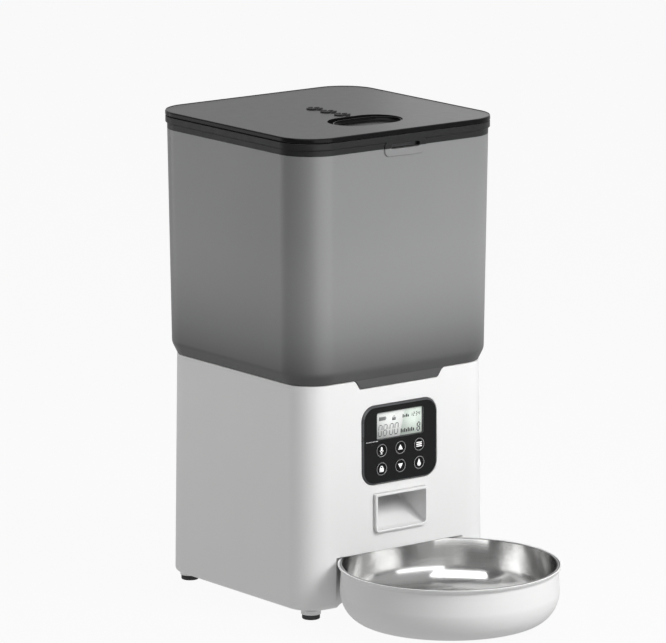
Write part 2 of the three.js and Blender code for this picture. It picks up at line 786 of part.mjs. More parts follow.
const WHITE = plastic(0xf0f0ee, 0.45);
const SMOKE = plastic(0x55585a, 0.5);
const BLACK_GLOSS = plastic(0x18191b, 0.2);
const BLACK_SATIN = plastic(0x26282b, 0.5);
const PANEL_GREY = plastic(0x2f3338, 0.4);
const BUTTON_GREY = plastic(0x26292e, 0.4);
const LENS = plastic(0xb9c4bd, 0.1);
const RUBBER = plastic(0x2a2a2c, 0.8);
const SILICONE = plastic(0x3a3c40, 0.7);
const BOARD = plastic(0x1f5a36, 0.5);
const NYLON = plastic(0xe6e2d4, 0.5);
const STEEL = metal(0xc8cacc, 0.25);
const SPRING_STEEL = metal(0x9a9c9e, 0.35);

// ---- assembly ----

const feeder = new THREE.Group();
feeder.position.y = (LID_HALF - (BOWL_Y - HOLDER_RIM)) / 2 - LID_HALF;
feeder.position.z = -GROUND;

function assembly(pieces) {
  const group = new THREE.Group();
  for (const [name, geometry, material] of pieces) {
    const mesh = new THREE.Mesh(geometry, material);
    mesh.name = name;
    group.add(mesh);
  }
  feeder.add(group);
}

const buttonNames = [
  ["record_button", "up_button", "set_button"],
  ["lock_button", "down_button", "feed_button"],
];

assembly([
  ["base_housing", housing(), WHITE],
  ["base_deck", deck(), WHITE],
  ["food_chute", chute(), WHITE],
  ["bottom_cover", bottomCover(), WHITE],
  ["battery_door", batteryDoor(), WHITE],
  ["contact_plate_front", contactPlate(BAY_FRONT + 0.7, 1, 1.2, 5, 3), SPRING_STEEL],
  ["contact_plate_rear", contactPlate(BAY_BACK - 0.7, -1, 5, 9, 5), SPRING_STEEL],
  ...bossPlaces.map(([x, y], i) => [`bottom_screw_${i + 1}`, screw(x, y), SPRING_STEEL]),
  ["foot_front_left", footPad(-FOOT_X, -FOOT_Y, FOOT_R, PAD_TOP), RUBBER],
  ["foot_front_right", footPad(FOOT_X, -FOOT_Y, FOOT_R, PAD_TOP), RUBBER],
  ["foot_rear_left", footPad(-FOOT_X, FOOT_Y, FOOT_R, PAD_TOP), RUBBER],
  ["foot_rear_right", footPad(FOOT_X, FOOT_Y, FOOT_R, PAD_TOP), RUBBER],
]);

assembly([
  ["control_panel", controlPanel(), PANEL_GREY],
  ["lcd_window", lcdWindow(), LENS],
  ["lcd_module", lcdModule(), LENS],
  ["button_board", buttonBoard(), BOARD],
  ["microphone", microphone(), SPRING_STEEL],
  ...BUTTON_Z.flatMap((z, row) =>
    BUTTON_X.map((x, column) => [buttonNames[row][column], button(x, z), BUTTON_GREY]),
  ),
]);

assembly([
  ["main_board", mainBoard(), BOARD],
  ["speaker", speaker(), BLACK_SATIN],
  ["power_jack", powerJack(), BLACK_SATIN],
]);

assembly([
  ["gearbox_case", gearboxCase(), BLACK_SATIN],
  ["gearbox_cover", gearboxCover(), BLACK_SATIN],
  ["drive_motor", motor(), STEEL],
  ["motor_pinion", motorPinion(), NYLON],
  ["idler_gear", idlerGear(), NYLON],
  ["output_gear", outputGear(), NYLON],
  ["drive_shaft", driveShaft(), STEEL],
]);

assembly([
  ["tank_shell", tankShell(), SMOKE],
  ["tank_funnel", funnel(), SMOKE],
  ["metering_cup", meteringCup(), SMOKE],
  ["sector_cover", sectorCover(), WHITE],
  ["outlet_wiper", wiper(), SILICONE],
  ["rotor", rotor(), NYLON],
  ["agitator", agitator(), NYLON],
]);

assembly([
  ["lid_top", lidTop(), BLACK_GLOSS],
  ["lid_liner", lidLiner(), BLACK_SATIN],
  ["lid_seal", lidSeal(), SILICONE],
  ["latch_button", latchButton(), BLACK_GLOSS],
  ["latch_bolt", latchBolt(), BLACK_SATIN],
  ["latch_spring", latchSpring(), SPRING_STEEL],
  ["desiccant_case", desiccantCase(), BLACK_SATIN],
  ["desiccant_cover", desiccantCover(), BLACK_SATIN],
]);

assembly([
  ["bowl_holder", bowlHolder(), WHITE],
  ["bowl", bowl(), STEEL],
  ...[0, 1, 2].map((k) => {
    const a = Math.PI / 2 + (k * 2 * Math.PI) / 3;
    const pad = footPad(45 * Math.cos(a), BOWL_Y + 45 * Math.sin(a), 5, HOLDER_BOTTOM - GAP);
    return [`bowl_pad_${k + 1}`, pad, RUBBER];
  }),
]);

export default feeder;
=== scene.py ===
"""The looks of the automatic pet feeder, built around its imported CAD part.

Shapes are written in millimetres about the tank's upright axis, with the lid's top at the height LID_TOP, and
object_from turns them into the frame's metres. +Z is up. The bowl and the key panel face -Y.
"""

import math

import bmesh
import bpy
from mathutils import Matrix, Vector


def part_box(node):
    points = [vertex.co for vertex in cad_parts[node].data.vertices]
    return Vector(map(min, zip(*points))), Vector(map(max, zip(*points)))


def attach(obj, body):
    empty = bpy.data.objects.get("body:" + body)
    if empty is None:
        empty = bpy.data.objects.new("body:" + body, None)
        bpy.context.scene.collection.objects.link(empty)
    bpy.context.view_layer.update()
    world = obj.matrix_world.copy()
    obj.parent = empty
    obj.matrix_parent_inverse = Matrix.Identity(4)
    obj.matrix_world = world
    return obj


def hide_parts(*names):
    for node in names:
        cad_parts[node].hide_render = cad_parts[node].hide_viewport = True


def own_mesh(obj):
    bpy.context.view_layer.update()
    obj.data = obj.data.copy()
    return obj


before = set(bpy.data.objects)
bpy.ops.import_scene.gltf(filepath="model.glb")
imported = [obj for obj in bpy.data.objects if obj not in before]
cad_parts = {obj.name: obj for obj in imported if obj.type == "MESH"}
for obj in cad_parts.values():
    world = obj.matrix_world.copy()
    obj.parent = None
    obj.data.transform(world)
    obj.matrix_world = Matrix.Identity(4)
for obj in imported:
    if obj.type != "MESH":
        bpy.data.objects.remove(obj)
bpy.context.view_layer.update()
MM = 0.001

# ---- places and sizes read from the frame ----

LID_TOP = 362.7
lid_low, lid_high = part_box("lid_top")
AXIS = Vector((0, (lid_low.y + lid_high.y) / 2, lid_high.z - LID_TOP * MM))


def box_mm(node):
    """Lowest and highest corner of a CAD node, in millimetres about the tank's axis."""
    return [(corner - AXIS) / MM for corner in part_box(node)]


lid_low, lid_high = box_mm("lid_top")
base_low, base_high = box_mm("base_housing")
tank_high = box_mm("tank_shell")[1]
holder_low, holder_high = box_mm("bowl_holder")
bowl_low, bowl_high = box_mm("bowl")
panel_low, panel_high = box_mm("control_panel")
chute_low, chute_high = box_mm("food_chute")
lens_low, lens_high = box_mm("lcd_window")

# A half is half a square's width, and a corner is the radius of its upright edges.
LID_HALF = lid_high.x
LID_CORNER = 29
TANK_WALL = 2.2
TANK_TOP_HALF = 94
TANK_SHOULDER = 185.3
COLLAR_BOTTOM = 353.7
PLUG_BOTTOM = 348.9
BASE_HALF = base_high.x
BASE_TOP_HALF = 87.26
BASE_CORNER = 21.7
BASE_EDGE = 4
BASE_WALL = 2.5
PANEL_CORNER = 11.5
PANEL_FLANGE = 2.9
PANEL_FACE = (panel_low.x + PANEL_FLANGE, panel_high.x - PANEL_FLANGE,
              panel_low.z + PANEL_FLANGE, panel_high.z - PANEL_FLANGE)
CHUTE_TOP = 88.7
BOWL_Y = holder_low.y + holder_high.x
BOWL_R = 78.2
BOWL_MOUTH = 80.2

# Cutters through the housing's front and rear walls run between these depths.
THROUGH_FRONT = (-95, -80)
THROUGH_REAR = (80, 95)

# Points in a rounded rectangle's quarter corner, and in the base's rounded bottom edge.
CORNER_STEPS = 24
EDGE_STEPS = 8


# ---- mesh helpers ----

def in_frame(height):
    """A height in the frame's metres."""
    return height * MM + AXIS.z


def in_scene(name, data):
    """A new object of the scene that holds data."""
    obj = bpy.data.objects.new(name, data)
    bpy.context.scene.collection.objects.link(obj)
    return obj


def object_from(name, mesh_data, material=None):
    """A new smooth-shaded object in metres, from a bmesh in millimetres about the tank's axis."""
    mesh = bpy.data.meshes.new(name)
    bmesh.ops.recalc_face_normals(mesh_data, faces=mesh_data.faces)
    mesh_data.to_mesh(mesh)
    mesh_data.free()
    mesh.transform(Matrix.Translation(AXIS) @ Matrix.Scale(MM, 4))
    for polygon in mesh.polygons:
        polygon.use_smooth = True
    if material:
        mesh.materials.append(material)
    return in_scene(name, mesh)


def add_skin(bm, rings, closed=False):
    """Adds a surface through rings with equal counts of points. Its ends are capped, or joined if closed."""
    rows = [[bm.verts.new(p) for p in ring] for ring in rings]
    pairs = list(zip(rows, rows[1:]))
    if closed:
        pairs.append((rows[-1], rows[0]))
    for lower, upper in pairs:
        count = len(lower)
        for i in range(count):
            j = (i + 1) % count
            bm.faces.new((lower[i], lower[j], upper[j], upper[i]))
    if not closed:
        bm.faces.new(list(reversed(rows[0])))
        bm.faces.new(rows[-1])


def skin(name, rings, material=None, closed=False):
    bm = bmesh.new()
    add_skin(bm, rings, closed)
    return object_from(name, bm, material)


def arc(cx, cy, r, a0, a1, steps):
    """Points on an arc, angles in degrees."""
    angles = [math.radians(a0 + (a1 - a0) * k / steps) for k in range(steps + 1)]
    return [(cx + r * math.cos(a), cy + r * math.sin(a)) for a in angles]


def rounded(x0, x1, y0, y1, r, steps=CORNER_STEPS, top_r=None):
    """Points of a rounded rectangle, anticlockwise. The upper two corners may have their own radius."""
    t = r if top_r is None else top_r
    points = []
    corners = (
        (x1 - r, y0 + r, r, -90), (x1 - t, y1 - t, t, 0), (x0 + t, y1 - t, t, 90), (x0 + r, y0 + r, r, 180),
    )
    for cx, cy, radius, start in corners:
        points += arc(cx, cy, radius, start, start + 90, steps)
    return points


def soften(points, cuts, steps=6):
    """A line of points with rounded corners: cuts says how far from each corner its curve starts, or 0."""
    out = []
    for i, cut in enumerate(cuts):
        corner = Vector(points[i])
        if not cut:
            out.append(tuple(corner))
            continue
        start = corner + (Vector(points[i - 1]) - corner).normalized() * cut
        end = corner + (Vector(points[(i + 1) % len(points)]) - corner).normalized() * cut
        for k in range(steps + 1):
            t = k / steps
            out.append(tuple(start * (1 - t) ** 2 + corner * 2 * t * (1 - t) + end * t * t))
    return out


def level_rings(sections):
    """Level rounded squares about the axis, each given as (height, half width, corner radius)."""
    return [[(x, y, z) for x, y in rounded(-half, half, -half, half, r)] for z, half, r in sections]


def moved(outline, x, y):
    return [(u + x, v + y) for u, v in outline]


def upward(x, y, depth):
    """Places a flat outline's point for a prism that stands along Z."""
    return x, y, depth


def frontward(x, z, depth):
    """The same for a prism along Y."""
    return x, depth, z


def sideward(y, z, depth):
    """The same for a prism along X."""
    return depth, y, z


def prism(name, outline, place, start, end, material=None):
    """A flat outline raised from start to end. place is upward, frontward or sideward."""
    return skin(name, [[place(u, v, d) for u, v in outline] for d in (start, end)], material)


def stamps(name, outlines, place, start, end, material=None):
    """Many flat outlines raised together, as one object."""
    bm = bmesh.new()
    for outline in outlines:
        add_skin(bm, [[place(u, v, d) for u, v in outline] for d in (start, end)])
    return object_from(name, bm, material)


def rectangle(x0, x1, y0, y1):
    return [(x0, y0), (x1, y0), (x1, y1), (x0, y1)]


def block(name, x0, x1, y0, y1, z0, z1):
    return prism(name, rectangle(x0, x1, y0, y1), upward, z0, z1)


def circle(cx, cy, r, steps):
    turn = 2 * math.pi / steps
    return [(cx + r * math.cos(k * turn), cy + r * math.sin(k * turn)) for k in range(steps)]


def upright(name, x, y, r, z0, z1, steps):
    """A round bar along Z."""
    return prism(name, circle(x, y, r, steps), upward, z0, z1)


def lengthwise(name, x, z, r, y0, y1, steps=32):
    """A round bar along Y."""
    return prism(name, circle(x, z, r, steps), frontward, y0, y1)


def band(cx, cy, inner, outer, a0, a1, steps=24):
    """The outline of a bent bar."""
    return arc(cx, cy, outer, a0, a1, steps) + arc(cx, cy, inner, a1, a0, steps)


def lathe(name, profile, x, y, material, steps):
    """A closed profile of (radius, height) points turned about an upright axis; points on it become poles."""
    bm = bmesh.new()
    columns = []
    for r, z in profile:
        if r < 1e-6:
            columns.append([bm.verts.new((x, y, z))] * steps)
        else:
            columns.append([bm.verts.new((u, v, z)) for u, v in circle(x, y, r, steps)])
    pairs = list(zip(columns, columns[1:]))
    if profile[0][0] > 1e-6 and profile[-1][0] > 1e-6:
        pairs.append((columns[-1], columns[0]))
    for a, b in pairs:
        for i in range(steps):
            j = (i + 1) % steps
            corners = []
            for v in (a[i], a[j], b[j], b[i]):
                if v not in corners:
                    corners.append(v)
            if len(corners) > 2:
                bm.faces.new(corners)
    return object_from(name, bm, material)


def bake_modifiers(obj):
    """Keeps what the modifiers made as the object's mesh."""
    graph = bpy.context.evaluated_depsgraph_get()
    mesh = bpy.data.meshes.new_from_object(obj.evaluated_get(graph))
    obj.modifiers.clear()
    obj.data = mesh
    return obj


def combine(obj, operation, others):
    """Cuts the others from obj, joins them to it, or keeps what they share. The others are used up."""
    for other in others:
        step = obj.modifiers.new("solid", "BOOLEAN")
        step.operation = operation
        step.solver = "EXACT"
        step.object = other
        bake_modifiers(obj)
        bpy.data.objects.remove(other)


def carve(obj, *cutters):
    combine(obj, "DIFFERENCE", cutters)


def fuse(obj, *others):
    combine(obj, "UNION", others)


def meet(obj, other):
    combine(obj, "INTERSECT", [other])


def bevel(obj, width, segments=3, angle=32, clamp=True):
    """Rounds every edge that turns by more than an angle in degrees, width in millimetres."""
    edges = obj.modifiers.new("edges", "BEVEL")
    edges.width = width * MM
    edges.segments = segments
    edges.limit_method = "ANGLE"
    edges.angle_limit = math.radians(angle)
    edges.miter_outer = "MITER_ARC"
    edges.use_clamp_overlap = clamp
    return obj


def flat_shading(obj):
    """Clean shading on the flats between rounded edges."""
    obj.modifiers.new("normals", "WEIGHTED_NORMAL").keep_sharp = True


def round_edges(obj, width, segments=3, angle=32, clamp=True):
    """A piece's last step: a fine rounding of its sharp edges, with clean shading."""
    bevel(obj, width, segments, angle, clamp)
    flat_shading(obj)


def eased(obj, width, segments=3, angle=32):
    """Rounds the edges of a solid before it is cut or joined."""
    return bake_modifiers(bevel(obj, width, segments, angle))


def paint(obj, material, chosen):
    """Gives the faces that chosen picks one more material."""
    obj.data.materials.append(material)
    slot = len(obj.data.materials) - 1
    for polygon in obj.data.polygons:
        if chosen(polygon):
            polygon.material_index = slot


def piece(obj, body, slot, *nodes):
    """obj rides on a body and stands for the named CAD nodes. slot is not used."""
    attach(obj, body)
    if nodes:
        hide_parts(*nodes)


# ---- materials ----

class Graph:
    """A small builder of a node tree."""

    def __init__(self, tree):
        self.tree = tree

    def add(self, kind, inputs=None, **settings):
        """A new node. inputs gives numbers or output sockets by an input's name or number."""
        node = self.tree.nodes.new(kind)
        for key, value in settings.items():
            setattr(node, key, value)
        for key, value in (inputs or {}).items():
            if isinstance(value, bpy.types.NodeSocket):
                self.tree.links.new(value, node.inputs[key])
            else:
                node.inputs[key].default_value = value
        return node

    def math(self, operation, a, b=0.0):
        return self.add("ShaderNodeMath", {0: a, 1: b}, operation=operation).outputs[0]

    def spread(self, value, low, high, start=0.3, end=0.7, **settings):
        """Maps a value's range from start to end onto low to high."""
        inputs = {"Value": value, "From Min": start, "From Max": end, "To Min": low, "To Max": high}
        return self.add("ShaderNodeMapRange", inputs, **settings).outputs["Result"]


class Nodes(Graph):
    """A material's nodes. Colours are linear, and roughness is the shader's own."""

    def __init__(self, name, color, roughness, metallic=0.0):
        self.material = bpy.data.materials.new(name)
        self.material.use_nodes = True
        super().__init__(self.material.node_tree)
        self.shader = self.tree.nodes["Principled BSDF"]
        self.set("Base Color", (*color, 1))
        self.set("Roughness", roughness)
        self.set("Metallic", metallic)

    def set(self, socket, value):
        self.shader.inputs[socket].default_value = value

    def feed(self, socket, value):
        self.tree.links.new(value, self.shader.inputs[socket])

    def place(self):
        """Where a point of the surface is, in metres."""
        return self.add("ShaderNodeTexCoord").outputs["Object"]

    def scaled(self, vector, factors):
        return self.add("ShaderNodeVectorMath", {0: vector, 1: factors}, operation="MULTIPLY").outputs[0]

    def stretched(self, x, y, x_scale, y_scale):
        """A flat vector from two numbers, each with its own scale."""
        inputs = {0: self.math("MULTIPLY", x, x_scale), 1: self.math("MULTIPLY", y, y_scale)}
        return self.add("ShaderNodeCombineXYZ", inputs).outputs[0]

    def noise(self, vector, scale, detail, rough=0.5):
        inputs = {"Vector": vector, "Scale": scale, "Detail": detail, "Roughness": rough}
        return self.add("ShaderNodeTexNoise", inputs).outputs["Fac"]

    def polar(self, centre):
        """(angle, radius, height) about an upright axis."""
        flat = self.add("ShaderNodeVectorMath", {0: self.place(), 1: centre}, operation="SUBTRACT").outputs[0]
        parts = self.add("ShaderNodeSeparateXYZ", {0: flat})
        x, y, z = (parts.outputs[i] for i in range(3))
        angle = self.math("ARCTAN2", y, x)
        level = self.add("ShaderNodeCombineXYZ", {0: x, 1: y}).outputs[0]
        radius = self.add("ShaderNodeVectorMath", {0: level}, operation="LENGTH").outputs["Value"]
        return angle, radius, z

    def color(self, value, dark, light):
        """The base colour runs from dark to light with value."""
        node = self.add("ShaderNodeMix", {0: value, 6: (*dark, 1), 7: (*light, 1)}, data_type="RGBA")
        self.feed("Base Color", node.outputs[2])

    def roughness(self, value, low, high):
        """The roughness runs from low to high with value."""
        self.feed("Roughness", self.spread(value, low, high))

    def bump(self, value, distance):
        """A bump that is distance millimetres high."""
        node = self.add("ShaderNodeBump", {"Height": value, "Distance": distance * MM, "Strength": 1.0})
        self.feed("Normal", node.outputs["Normal"])


def shade(color, factor):
    return tuple(min(1.0, c * factor) for c in color)


def moulded(name, color, roughness, grain, grain_scale, change, specular=0.5, glow=0.0, patchy=0.12):
    """Moulded plastic: a fine grain in millimetres, and faint flow marks in the colour and the gloss."""
    n = Nodes(name, color, roughness)
    where = n.place()
    n.color(n.noise(where, 22, 2), shade(color, 1 - change), shade(color, 1 + change))
    n.roughness(n.noise(where, 140, 4), roughness * (1 - patchy), roughness * (1 + patchy))
    n.bump(n.noise(where, grain_scale, 2, 0.6), grain)
    n.set("Specular IOR Level", specular)
    # Painted light: glow lets the surface shine by itself, though it is no lamp.
    n.set("Emission Color", (*color, 1))
    n.set("Emission Strength", glow)
    return n.material


def smoke():
    """Frosted smoky plastic: light goes in and scatters. Its colour holds painted shade towards the foot, and
    it is darker towards the top and at the collar.
    """
    color = (0.345, 0.347, 0.351)
    foot_start, palest, top_end = in_frame(182), in_frame(262), in_frame(345)
    foot_shade_depth, top_level, collar_level = 0.68, 0.84, 0.12
    n = Nodes("smoke_plastic", color, 0.34)
    where = n.place()
    height = n.add("ShaderNodeSeparateXYZ", {0: where}).outputs[2]
    # Painted shade: below palest the colour grows darker towards the tank's foot.
    below = n.math("SUBTRACT", 1.0, n.spread(height, 0.0, 1.0, foot_start, palest))
    foot = n.math("SUBTRACT", 1.0, n.math("MULTIPLY", n.math("POWER", below, 2.5), foot_shade_depth))
    top = n.spread(height, 1.0, top_level, palest, top_end)
    collar = n.spread(height, 1.0, collar_level, in_frame(PLUG_BOTTOM - 0.2), in_frame(PLUG_BOTTOM + 0.3))
    cloud = n.spread(n.noise(where, 9, 2), 0.97, 1.03)
    level = n.math("MULTIPLY", n.math("MULTIPLY", foot, top), n.math("MULTIPLY", collar, cloud))
    n.color(level, (0, 0, 0), color)
    n.roughness(n.noise(where, 260, 3), 0.31, 0.37)
    n.bump(n.noise(where, 3200, 2, 0.6), 0.008)
    n.set("IOR", 1.49)
    n.set("Transmission Weight", 0.3)
    return n.material


def spun_steel(name, roughness, wobble, anisotropic):
    """Stainless steel with fine lines round the bowl's axis, wobble millimetres deep."""
    color = (0.67, 0.67, 0.665)
    quarter_turn = 0.25
    n = Nodes(name, color, roughness, 1.0)
    angle, radius, z = n.polar((AXIS.x, AXIS.y + BOWL_Y * MM, 0))
    outward = n.math("ADD", radius, z)
    lines = n.noise(n.stretched(angle, outward, 0.8, 2600), 1.0, 4, 0.65)
    bands = n.noise(n.stretched(angle, outward, 0.5, 1500), 1.0, 2)
    n.color(bands, shade(color, 0.93), shade(color, 1.06))
    n.roughness(lines, roughness * 0.75, roughness * 1.3)
    n.bump(n.math("ADD", lines, bands), wobble)
    n.set("Anisotropic", anisotropic)
    n.set("Anisotropic Rotation", quarter_turn)
    if anisotropic:
        n.feed("Tangent", n.add("ShaderNodeTangent", direction_type="RADIAL", axis="Z").outputs[0])
    return n.material


def plated(name, color, roughness):
    """Plated or drawn metal with faint draw marks."""
    n = Nodes(name, color, roughness, 1.0)
    where = n.place()
    n.color(n.noise(where, 300, 3), shade(color, 0.85), shade(color, 1.1))
    n.roughness(n.noise(where, 900, 3), roughness * 0.7, roughness * 1.4)
    n.bump(n.noise(n.scaled(where, (1, 1, 8)), 900, 2), 0.006)
    return n.material


def circuit_board():
    """Green solder mask with paler traces under it."""
    n = Nodes("circuit_board", (0.02, 0.16, 0.06), 0.35)
    where = n.place()
    cells = n.add("ShaderNodeTexVoronoi", {"Vector": where, "Scale": 260.0}, feature="DISTANCE_TO_EDGE")
    traces = n.math("LESS_THAN", cells.outputs["Distance"], 0.09)
    n.color(traces, (0.012, 0.13, 0.05), (0.05, 0.26, 0.10))
    n.bump(traces, 0.02)
    return n.material


def glass(name, color, alpha):
    """A thin clear lens: mostly see-through, with a clean gloss."""
    n = Nodes(name, color, 0.08)
    where = n.place()
    n.bump(n.noise(where, 60, 1), 0.004)
    n.roughness(n.noise(where, 500, 2), 0.06, 0.12)
    n.set("Alpha", alpha)
    return n.material


# Moulded: name, colour, roughness, grain's height in millimetres and scale, and change of colour.
white_shell = moulded("white_abs", (0.83, 0.83, 0.828), 0.42, 0.008, 2600, 0.012)
lid_black = moulded("lid_black", (0.012, 0.0122, 0.013), 0.30, 0.0015, 3000, 0.1, patchy=0.03)
lid_gloss = moulded("lid_edge_gloss", (0.005, 0.005, 0.0055), 0.2, 0.001, 1500, 0.1, specular=0.1)
black_parts = moulded("black_nylon", (0.025, 0.025, 0.027), 0.5, 0.02, 1800, 0.15)
panel_film = moulded("panel_film", (0.009, 0.0092, 0.0096), 0.42, 0.003, 2600, 0.08, specular=0.15)
panel_rim = moulded("panel_rim", (0.07, 0.072, 0.076), 0.3, 0.004, 2600, 0.08)
key_black = moulded("key_black", (0.002, 0.002, 0.0022), 0.35, 0.002, 2000, 0.1, specular=0.15)
# The print on the keys glows: painted light that brightens it, though the keys are no lamp.
key_print = moulded("key_print", (0.86, 0.86, 0.86), 0.5, 0.002, 2000, 0.02, glow=0.5)
key_ring = moulded("key_ring", (0.62, 0.62, 0.63), 0.4, 0.002, 2000, 0.05)
emblem_ink = moulded("emblem_ink", (0.004, 0.004, 0.004), 0.75, 0.004, 2000, 0.1)
# Both display tints glow: painted light that makes up for the shade of the bezel and lens, though they are no
# lamp.
lcd_left = moulded("lcd_grey", (0.72, 0.735, 0.72), 0.5, 0.001, 900, 0.015, glow=0.2)
lcd_right = moulded("lcd_green", (0.64, 0.71, 0.65), 0.5, 0.001, 900, 0.02, glow=0.22)
lcd_faint = moulded("lcd_segment_faint", (0.20, 0.205, 0.205), 0.5, 0.001, 900, 0.05)
lcd_dark = moulded("lcd_segment", (0.012, 0.014, 0.013), 0.5, 0.001, 900, 0.05, specular=0.2)
lcd_body = moulded("lcd_frame", (0.55, 0.56, 0.55), 0.5, 0.004, 900, 0.03)
rubber = moulded("foot_rubber", (0.03, 0.03, 0.031), 0.75, 0.05, 1200, 0.2)
silicone = moulded("silicone", (0.03, 0.031, 0.034), 0.55, 0.01, 1500, 0.1)
nylon = moulded("natural_nylon", (0.72, 0.68, 0.57), 0.45, 0.015, 1500, 0.05)
speaker_cone = moulded("speaker_cone", (0.05, 0.05, 0.052), 0.8, 0.06, 900, 0.2)
smoke_plastic = smoke()
smoke_collar = moulded("smoke_collar", (0.022, 0.0222, 0.0225), 0.34, 0.004, 2600, 0.08, specular=0.12)
bowl_wall = spun_steel("bowl_wall_steel", 0.17, 0.0006, 0.85)
bowl_floor = spun_steel("bowl_floor_steel", 0.10, 0.0004, 0.0)
bowl_lip = plated("bowl_lip_steel", (0.26, 0.26, 0.26), 0.12)
steel = plated("drawn_steel", (0.56, 0.56, 0.57), 0.3)
zinc = plated("zinc_plate", (0.62, 0.63, 0.65), 0.28)
board_green = circuit_board()
lens_clear = glass("lens_clear", (0.75, 0.77, 0.76), 0.02)

# ---- base ----


def base_sections(inset, start, end):
    """The base's outline at rising heights, inset from its outer face, with the rounded bottom edge."""
    sections = []
    for k in range(EDGE_STEPS + 1):
        a = math.pi / 2 * k / EDGE_STEPS
        less = BASE_EDGE * (1 - math.sin(a)) + inset
        z = base_low.z + BASE_EDGE * (1 - math.cos(a))
        sections.append((z, BASE_HALF - less, BASE_CORNER - less))
    if start < base_low.z:
        sections.insert(0, (start, *sections[0][1:]))
    sections.append((end, BASE_TOP_HALF - inset, BASE_CORNER - inset))
    return sections


def tongue_outline(grow):
    """The tank's front tongue, seen from the front, with eased corners."""
    side = [(43, base_high.z + 1), (39.9, 175.4), (36.4, 170 - grow)]
    right = [(x + grow, z) for x, z in side]
    left = [(-x, z) for x, z in reversed(right)]
    return soften(right + left, (0, 1.8, 1.6, 1.6, 1.8, 0), 5)[::-1]


def mouth_outline(grow):
    """The frame round the chute's mouth, seen from the front. Its upper corners are the sharper ones."""
    return rounded(chute_low.x - grow, chute_high.x + grow, chute_low.z - grow, CHUTE_TOP + grow,
                   3.6 + grow, 8, 1.2 + grow)


def make_housing():
    """The base's shell: a recess for the bowl, and holes for panel, chute, tongue, speaker and power jack."""
    gap = 0.3
    recess_r, recess_top = 84.5, 45
    recess = upright("cut", 0, BOWL_Y, recess_r, 0, recess_top, 192)
    lining = upright("cut", 0, BOWL_Y, recess_r + BASE_WALL, 0, recess_top + BASE_WALL, 192)
    hollow = skin("cut", level_rings(base_sections(BASE_WALL, base_low.z - 1, base_high.z + 1)))
    carve(hollow, lining)
    x0, x1, z0, z1 = PANEL_FACE
    panel_hole = rounded(x0 - gap, x1 + gap, z0 - gap, z1 + gap, PANEL_CORNER + gap)
    shell = skin("housing_shell", level_rings(base_sections(0, base_low.z, base_high.z)), white_shell)
    jack_x, jack_z, jack_r = 58, 62, 5.4
    grille_centre, grille_r, grille_hole_r = (-48, 115), 7, 1.6
    cutters = [
        recess,
        hollow,
        prism("cut", panel_hole, frontward, *THROUGH_FRONT),
        prism("cut", mouth_outline(gap), frontward, *THROUGH_FRONT),
        prism("cut", tongue_outline(0.45), frontward, *THROUGH_FRONT),
        lengthwise("cut", jack_x, jack_z, jack_r, *THROUGH_REAR),
    ]
    for x, z in [grille_centre] + circle(*grille_centre, grille_r, 6):
        cutters.append(lengthwise("cut", x, z, grille_hole_r, *THROUGH_REAR, 20))
    carve(shell, *cutters)
    for x, y in ((-78, -45), (78, -45), (-78, 40), (78, 40)):
        add_boss(shell, x, y)
    round_edges(shell, 0.35, clamp=False)
    piece(shell, "base", "white_shell", "base_housing")


def add_boss(shell, x, y):
    """A drilled post for a bottom screw, with a rib to the side wall."""
    side = math.copysign(1, x)
    post_r, hole_r, half_rib = 4.5, 1.9, 1
    reach = sorted((side * 80, side * (BASE_HALF - BASE_WALL + 0.4)))
    rib = block("add", *reach, y - half_rib, y + half_rib, 12, 38)
    fuse(shell, upright("add", x, y, post_r, 10.2, 40, 24), rib)
    carve(shell, upright("cut", x, y, hole_r, 9, 24, 16))


make_housing()


def make_chute():
    """The channel down to the front, with a raised frame round its mouth."""
    hidden = 0.15
    top, bottom = CHUTE_TOP - hidden, chute_low.z + hidden
    outside = [
        (-22.7, chute_high.z), (-55.3, chute_high.z), (-55.3, 112.6), (-70.5, 93.9), (-81.9, top),
        (-84, top), (-84, bottom), (-46.5, 79.2), (-22.7, 117.4),
    ]
    body = prism("chute_channel", soften(outside, (0, 0, 4, 4, 3, 0, 0, 8, 3)), sideward,
                 chute_low.x + hidden, chute_high.x - hidden, white_shell)
    fuse(body, prism("add", mouth_outline(0), frontward, chute_low.y, -82.5))
    half = chute_high.x - 1.8
    floor_and_roof = [  # (y, z) of a point on the room's floor, and of the roof's point across from it
        ((-92.5, 61.1), (-92.5, 86.9)), ((-88, 61.1), (-82, 86.9)), ((-85, 62.6), (-80, 87.5)),
        ((-66, 72.2), (-70.5, 91.6)), ((-49.5, 80.6), (-62, 101.5)), ((-44, 87), (-54.5, 110.8)),
        ((-40, 94.4), (-53.5, 114)), ((-26, 115.7), (-53.5, 130)), ((-24.5, 149.5), (-53.5, 149.5)),
    ]
    rings = []
    for low, high in floor_and_roof:
        low, high = Vector(low), Vector(high)
        rise = (high - low).normalized()
        section = rounded(-half, half, 0, (high - low).length, 2.4, 6, 1.0)
        rings.append([(x, *(low + rise * v)) for x, v in section])
    carve(body, skin("cut", rings))
    round_edges(body, 0.45, 4, clamp=False)
    piece(body, "base", "white_shell", "food_chute")


make_chute()


def footprint(node):
    """A round node's centre, radius, bottom and top."""
    low, high = box_mm(node)
    return (low.x + high.x) / 2, (low.y + high.y) / 2, (high.x - low.x) / 2, low.z, high.z


